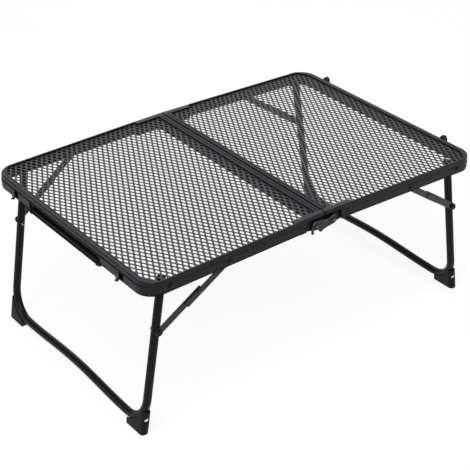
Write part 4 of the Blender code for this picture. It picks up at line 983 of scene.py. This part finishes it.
class CAMPTABLE_OT_hinge(bpy.types.Operator):
    """Makes the front and back centre hinges: brackets, pins and links"""

    bl_idname = "camptable.hinge"
    bl_label = "Centre hinge"

    def execute(self, context):
        leaf_y = HINGE_WEB + GAP + LEAF_THICK / 2
        link_y = leaf_y + LEAF_THICK / 2 + GAP + HINGE_LINK_THICK / 2
        head_y = link_y + HINGE_LINK_THICK / 2 + GAP
        for end_name, end in ENDS:
            for name, side in SIDES:
                both = end_name + "_" + name
                half, body = half_place(name, side), name + "_half"
                self.bracket(both, half, body, side, end, leaf_y)
                self.pin(both, half, body, side, end, head_y)
            self.link(end_name, end, link_y)
        return {"FINISHED"}

    def bracket(self, both, half, body, side, end, leaf_y):
        """A leaf round the pin, and the riveted block that fills the recess's closed part."""
        top, foot = RECESS_TOP - GAP, -RAIL_HEIGHT
        outline = np.concatenate([
            arc(PIN_OUT, -PIN_DEPTH, 6.5, 180, 95, 12),
            [(PIN_OUT + 3, top), (LEAF_END, top), (LEAF_END, foot), (33.0, foot),
             (PIN_OUT + 6, foot - 2.4)],
            arc(PIN_OUT, -PIN_DEPTH, 6.4, 285, 180, 14)[:-1],
        ])
        leaf = standing(outline, LEAF_THICK, 0.4, end * leaf_y, side)
        start, deep = OPEN_RECESS[side], HALF_WIDTH - HINGE_WEB - GAP
        outline = fillet([(start, foot), (LEAF_END, foot), (LEAF_END, top), (start, top)],
                         [1.2, 0.8, 0.8, 1.0])
        block = standing(outline, deep, 0.3, end * (HALF_WIDTH - deep / 2), side)
        heads = [
            placed(turned(dome(1.7, 0.8, 1.0, 1.0), 24),
                   facing(end, side * x, HALF_WIDTH - 0.02, -z))
            for x, z in ((33.6, 17.2), (41.0, 12.4))
        ]
        piece = add_piece(both + "_hinge_leaf", joined(leaf, block, *heads), half, body,
                          both + "_hinge_bracket", "tube coat")
        # The leaf keeps the dark tube coat as painted shade of the recess; the block gets the coat
        paint_outside(piece, end, HINGE_WEB + GAP + 2.2)

    def pin(self, both, half, body, side, end, head_y):
        """A pin with a dark head, dished round a bright zinc middle that is a painted glint."""
        inner = RAIL_INSIDE - head_y + GAP
        pin = turned([
            (0, 1.75), (0.6, 1.75), (0.9, 1.55), (0.9, 0.6), (1.9, 0.6), (2.2, 1.2), (2.9, 1.4),
            (3.6, 0.9), (3.6, 0), (2.2, 0), (2.2, inner), (0, inner),
        ])
        pin = placed(pin, facing(end, side * PIN_OUT, head_y, -PIN_DEPTH))
        piece = add_piece(both + "_pin", pin, half, body, both + "_hinge_pin",
                          "enamel zinc")
        # The small boss in the middle gets bright zinc: a painted glint
        paint_outside(piece, end, head_y + 1.42)

    def link(self, end_name, end, link_y):
        """The hinge link: two bosses joined by a web with a round lobe, and a stop peg.

        The outer side's upper edges get a painted highlight: there a face's normal leans both
        outwards, by 0.15 to 0.85, and up.
        """
        place = joint_place("left_fold") @ shift(PIN_OUT, 0, 0)
        outline = np.concatenate([
            arc(-PIN_OUT, 0, 7.0, 90, 290, 24),
            arc(-6.4, -8.7, 3.5, 200, 330, 12),
            fillet([(1.0, -8.4), (6.0, -8.0), (12.4, -7.8)], 1.5, 5)[5:10],
            arc(PIN_OUT, 0, 7.0, -70, 90, 18),
            fillet([(6.9, 3.6), (-0.8, 4.0), (-4.6, 7.0)], 2.0, 6),
        ])
        web = standing(outline, HINGE_LINK_THICK, 0.9, end * link_y, steps=5)
        peg = turned([(0, 0), (2.0, 0), (2.0, -12.0), (1.7, -12.7), (0.9, -13.1), (0, -13.1)], 28)
        peg = placed(peg, shift(-PIN_OUT - 6.0, end * link_y, 1.0))
        boss = turned([(4.6, 0), (5.4, 0), (5.2, 0.35), (4.6, 0.35), (4.6, 0)])
        bosses = [placed(boss, facing(end, x, link_y + 1.58, 0)) for x in (-PIN_OUT, PIN_OUT)]
        piece = add_piece(end_name + "_link_plate", joined(web, peg, *bosses), place,
                          "hinge_links", end_name + "_hinge_link", "enamel rubbed")
        normals = faces_of(piece)[1]
        out = normals[:, 1] * end
        # Painted highlight on the outer side's upper edges
        paint(piece, (out > 0.15) & (out < 0.85) & (normals[:, 2] > 0.3))


# End rails


class CAMPTABLE_OT_end_fittings(bpy.types.Operator):
    """Makes the carrying handle, the catches and the swing latches"""

    bl_idname = "camptable.end_fittings"
    bl_label = "Handle, catches and latches"

    def execute(self, context):
        self.handle()
        self.catches()
        self.latches()
        return {"FINISHED"}

    def handle(self):
        """A grooved bar between two ribbed lugs, rounded about their stub axles."""
        place = joint_place("handle_swing", HANDLE_MIDDLE) @ turn(Y, -CAMBER)
        inner, outer, foot, top = 3.0, -5.0, -11.5, -4.5
        bar = fillet(
            [(inner, foot), (inner, top), (outer + 0.6, top), (outer + 0.6, top - 1.6),
             (outer + 1.8, top - 2.2), (outer + 1.8, foot + 2.6), (outer, foot + 2.0),
             (outer, foot)],
            [1.6, 1.6, 0.6, 0.4, 0.4, 0.4, 0.5, 1.0], 5,
        )
        shapes = [straight_bar(bar, HANDLE_HALF - 4)]
        lug = np.concatenate([
            arc(0, 0, 2.7, 0, 180, 18),
            fillet([(-3.2, -3.6), (-5.5, -5.4), (-5.5, -12.0), (3.0, -12.0), (3.0, -3.0)],
                   [1.6, 1.6, 3.2, 2.4, 1.5], 7),
        ])
        for _, end in ENDS:
            body = standing(lug, 10.6, 1.1, end * (HANDLE_HALF - 5.3), steps=5)
            ribs = [
                placed(plate(stadium(-3.1, 3.1, 0.55), 1.0, 0.3),
                       shift(-5.4, end * (HANDLE_HALF - 3.2 - 2.1 * k), -8.6), ENDWAYS,
                       turn(Z, QUARTER))
                for k in range(3)
            ]
            axle = placed(turned([(0, 4.0), (1.5, 4.0), (1.8, 3.7), (1.8, -4), (0, -4)], 24),
                          facing(end, 0, HANDLE_HALF, 0))
            shapes += [body, axle, *ribs]
        add_piece("carrying_handle", joined(*shapes), place, "handle", "handle",
                  "plastic")

    def catches(self):
        """Let-in plates with a pointed foot, a rivet and a stud for the latch."""
        place = half_place("left", -1)
        outline = fillet(
            [(-0.9, -27.0), (0.9, -27.0), (4.0, -22.0), (3.5, -19.5), (3.5, -9.5), (-3.5, -9.5),
             (-3.5, -19.5), (-4.0, -22.0)],
            [0.8, 0.8, 1.0, 1.0, 0.3, 0.3, 1.0, 1.0], 5,
        )
        stud = turned([(0, 3.0), (1.3, 3.0), (1.8, 2.6), (1.8, 1.9), (1.3, 1.6), (1.3, 0.4),
                       (1.8, 0.1), (1.8, -0.8), (0, -0.8)], 28)
        rivet_head = turned(dome(2.1, 0.25, 2.0, 6.0), 28)
        for end_name, y in LATCH_PLACES.items():
            shape = joined(
                placed(plate(outline, 1.5, 0.35), shift(-HALF_LENGTH + 0.75, y, 0), ENDWAYS),
                placed(stud, shift(-HALF_LENGTH, y, -24.0), LEFTWARDS),
                placed(rivet_head, shift(-HALF_LENGTH - 0.02, y, -13.75), LEFTWARDS),
            )
            add_piece(end_name + "_catch_plate", shape, place, "left_half", end_name + "_catch",
                      "enamel")

    def latches(self):
        """A hooked plate that turns on a stem, with a thumb tab that stands past the rim."""
        place = half_place("right", 1)
        notch, half = 2.6, 4.5
        tip = LATCH_REACH + notch + 3.0
        outline = np.concatenate([
            arc(0, 0, half, 270, 90, 18),
            [(tip - 3.0, half), (tip - 1.2, half - 0.4), (tip - 0.3, half - 1.3),
             (tip, half - 3), (tip, -half + 0.6), (tip - 0.5, -half),
             (LATCH_REACH + notch, -half)],
            arc(LATCH_REACH, 0, notch, 0, 180, 14),
            [(LATCH_REACH - notch, -half)],
        ])
        stem = turned([(0, 6), (2, 6), (2, -0.9), (0, -0.9)], 28)
        tab = plate(stadium(-6.0, LATCH_DEPTH + TAB_PAST_RIM, 6.0)[:, ::-1], TAB_THICK, 2.2, 6)
        for (end_name, y), (_, end) in zip(LATCH_PLACES.items(), ENDS):
            hook = plate(outline * [-end, 1], 1.6, 0.4)
            shape = joined(
                placed(hook, shift(HALF_LENGTH + GAP + 0.8, y, -LATCH_DEPTH), ENDWAYS),
                placed(stem, shift(HALF_LENGTH, y, -LATCH_DEPTH), LEFTWARDS),
                placed(tab, shift(HALF_LENGTH + TAB_OUT - TAB_THICK / 2, y, -LATCH_DEPTH),
                       ENDWAYS),
            )
            add_piece(end_name + "_swing_latch", shape, place, end_name + "_latch",
                      end_name + "_latch", "enamel")


# Stage


def pale_floor_material():
    """Matt pale board: white to the camera and in reflections, grey only under the table."""
    material, tree, shader = surface("pale_studio_board", 0.0, 0.1)
    mottle(tree, shader, "#e6e6e6", "#eeeeee", 400.0, 0.85, 0.95)
    path = add_node(tree, "ShaderNodeLightPath")
    seen = path.outputs["Is Camera Ray"]
    for ray in ("Is Glossy Ray", "Is Transmission Ray"):
        links = {0: seen, 1: path.outputs[ray]}
        seen = add_node(tree, "ShaderNodeMath", {"operation": "MAXIMUM"}, links=links).outputs[0]
    share = add_node(tree, "ShaderNodeMath", {"operation": "MULTIPLY"}, {1: 0.8}, {0: seen})
    glow = add_node(tree, "ShaderNodeEmission", values={"Color": (1, 1, 1, 1), "Strength": 1.06})
    mix = add_node(
        tree, "ShaderNodeMixShader",
        links={0: share.outputs[0], 1: shader.outputs[0], 2: glow.outputs[0]},
    )
    output = next(node for node in tree.nodes if node.type == "OUTPUT_MATERIAL")
    tree.links.new(mix.outputs[0], output.inputs["Surface"])
    return material


class CAMPTABLE_OT_stage(bpy.types.Operator):
    """Lays the pale floor and sets the soft lights, the sky and the camera"""

    bl_idname = "camptable.stage"
    bl_label = "Stage"

    def execute(self, context):
        sizes = context.scene.camp_table_stage
        reach = sizes.floor_reach
        mesh = bpy.data.meshes.new("studio_floor")
        corners = [(-reach, -reach, 0), (reach, -reach, 0), (reach, reach, 0), (-reach, reach, 0)]
        mesh.from_pydata(corners, [], [(0, 1, 2, 3)])
        mesh.materials.append(pale_floor_material())
        floor = bpy.data.objects.new("studio_floor", mesh)
        floor.location.z = -0.0004
        context.scene.collection.objects.link(floor)
        self.sky(context)
        fill = sizes.fill_power
        self.lamp(context, "key_softbox", (-1.2, -0.9, 2.3), 1.8, sizes.key_power)
        self.lamp(context, "fill_softbox", (1.9, -1.2, 1.4), 1.2, 0.5 * fill)
        self.lamp(context, "back_softbox", (1.3, 1.9, 1.6), 2.0, 0.6 * fill)
        self.lamp(context, "left_strip", (-2.2, 0.9, 0.9), 0.8, 0.4 * fill)
        data = bpy.data.cameras.new("studio_camera")
        data.lens = sizes.lens
        data.sensor_width = 36.0
        data.clip_end = 60.0
        context.scene.camera = self.aimed(context, data, CAMERA_PLACE, CAMERA_LOOK)
        context.scene.view_settings.view_transform = "Standard"
        return {"FINISHED"}

    def sky(self, context):
        """White where the camera sees it, and a plain grey fill for light and reflections."""
        world = bpy.data.worlds.new("studio_sky")
        world.use_nodes = True
        tree = world.node_tree
        fill = tree.nodes["Background"]
        fill.inputs["Color"].default_value = (1, 1, 1, 1)
        fill.inputs["Strength"].default_value = 0.3
        seen = add_node(
            tree, "ShaderNodeBackground", values={"Color": (1, 1, 1, 1), "Strength": 1.0}
        )
        path = add_node(tree, "ShaderNodeLightPath")
        mix = add_node(
            tree, "ShaderNodeMixShader",
            links={0: path.outputs["Is Camera Ray"], 1: fill.outputs[0], 2: seen.outputs[0]},
        )
        tree.links.new(mix.outputs[0], tree.nodes["World Output"].inputs["Surface"])
        context.scene.world = world

    def lamp(self, context, name, place, size, power):
        """A square softbox that faces the table."""
        data = bpy.data.lights.new(name, "AREA")
        data.size = size
        data.energy = power
        self.aimed(context, data, place, Vector((0, 0, 0.15)) - Vector(place))

    def aimed(self, context, data, place, look):
        """Puts a lamp or the camera at its place, looking along the given direction."""
        thing = bpy.data.objects.new(data.name, data)
        thing.location = place
        thing.rotation_euler = Vector(look).to_track_quat("-Z", "Y").to_euler()
        context.scene.collection.objects.link(thing)
        return thing


class CAMPTABLE_PT_panel(bpy.types.Panel):
    """The steps that build the table, in order"""

    bl_label = "Camp table"
    bl_idname = "CAMPTABLE_PT_panel"
    bl_space_type = "VIEW_3D"
    bl_region_type = "UI"
    bl_category = "Camp table"

    def draw(self, context):
        for group in SETTINGS:
            settings = getattr(context.scene, group)
            frame_of_group = self.layout.box()
            for name in settings.__annotations__:
                frame_of_group.prop(settings, name)
        for step in STEPS:
            self.layout.operator(step.bl_idname)


STEPS = (
    CAMPTABLE_OT_stage,
    CAMPTABLE_OT_rails,
    CAMPTABLE_OT_nets,
    CAMPTABLE_OT_legs,
    CAMPTABLE_OT_braces,
    CAMPTABLE_OT_hinge,
    CAMPTABLE_OT_end_fittings,
)
SETTINGS = {
    "camp_table_finishes": TableFinishes,
    "camp_table_net": NetSizes,
    "camp_table_stage": StageSizes,
}


def register():
    """Registers the classes and hangs their settings on the scene."""
    for kind in (*SETTINGS.values(), *STEPS, CAMPTABLE_PT_panel):
        bpy.utils.register_class(kind)
    for name, kind in SETTINGS.items():
        setattr(bpy.types.Scene, name, bpy.props.PointerProperty(type=kind))


def unregister():
    """Takes off what register adds."""
    for name in SETTINGS:
        delattr(bpy.types.Scene, name)
    for kind in (CAMPTABLE_PT_panel, *STEPS[::-1], *SETTINGS.values()):
        bpy.utils.unregister_class(kind)


def main():
    register()
    for step in STEPS:
        group, name = step.bl_idname.split(".")
        getattr(getattr(bpy.ops, group), name)()


if __name__ == "__main__":
    main()
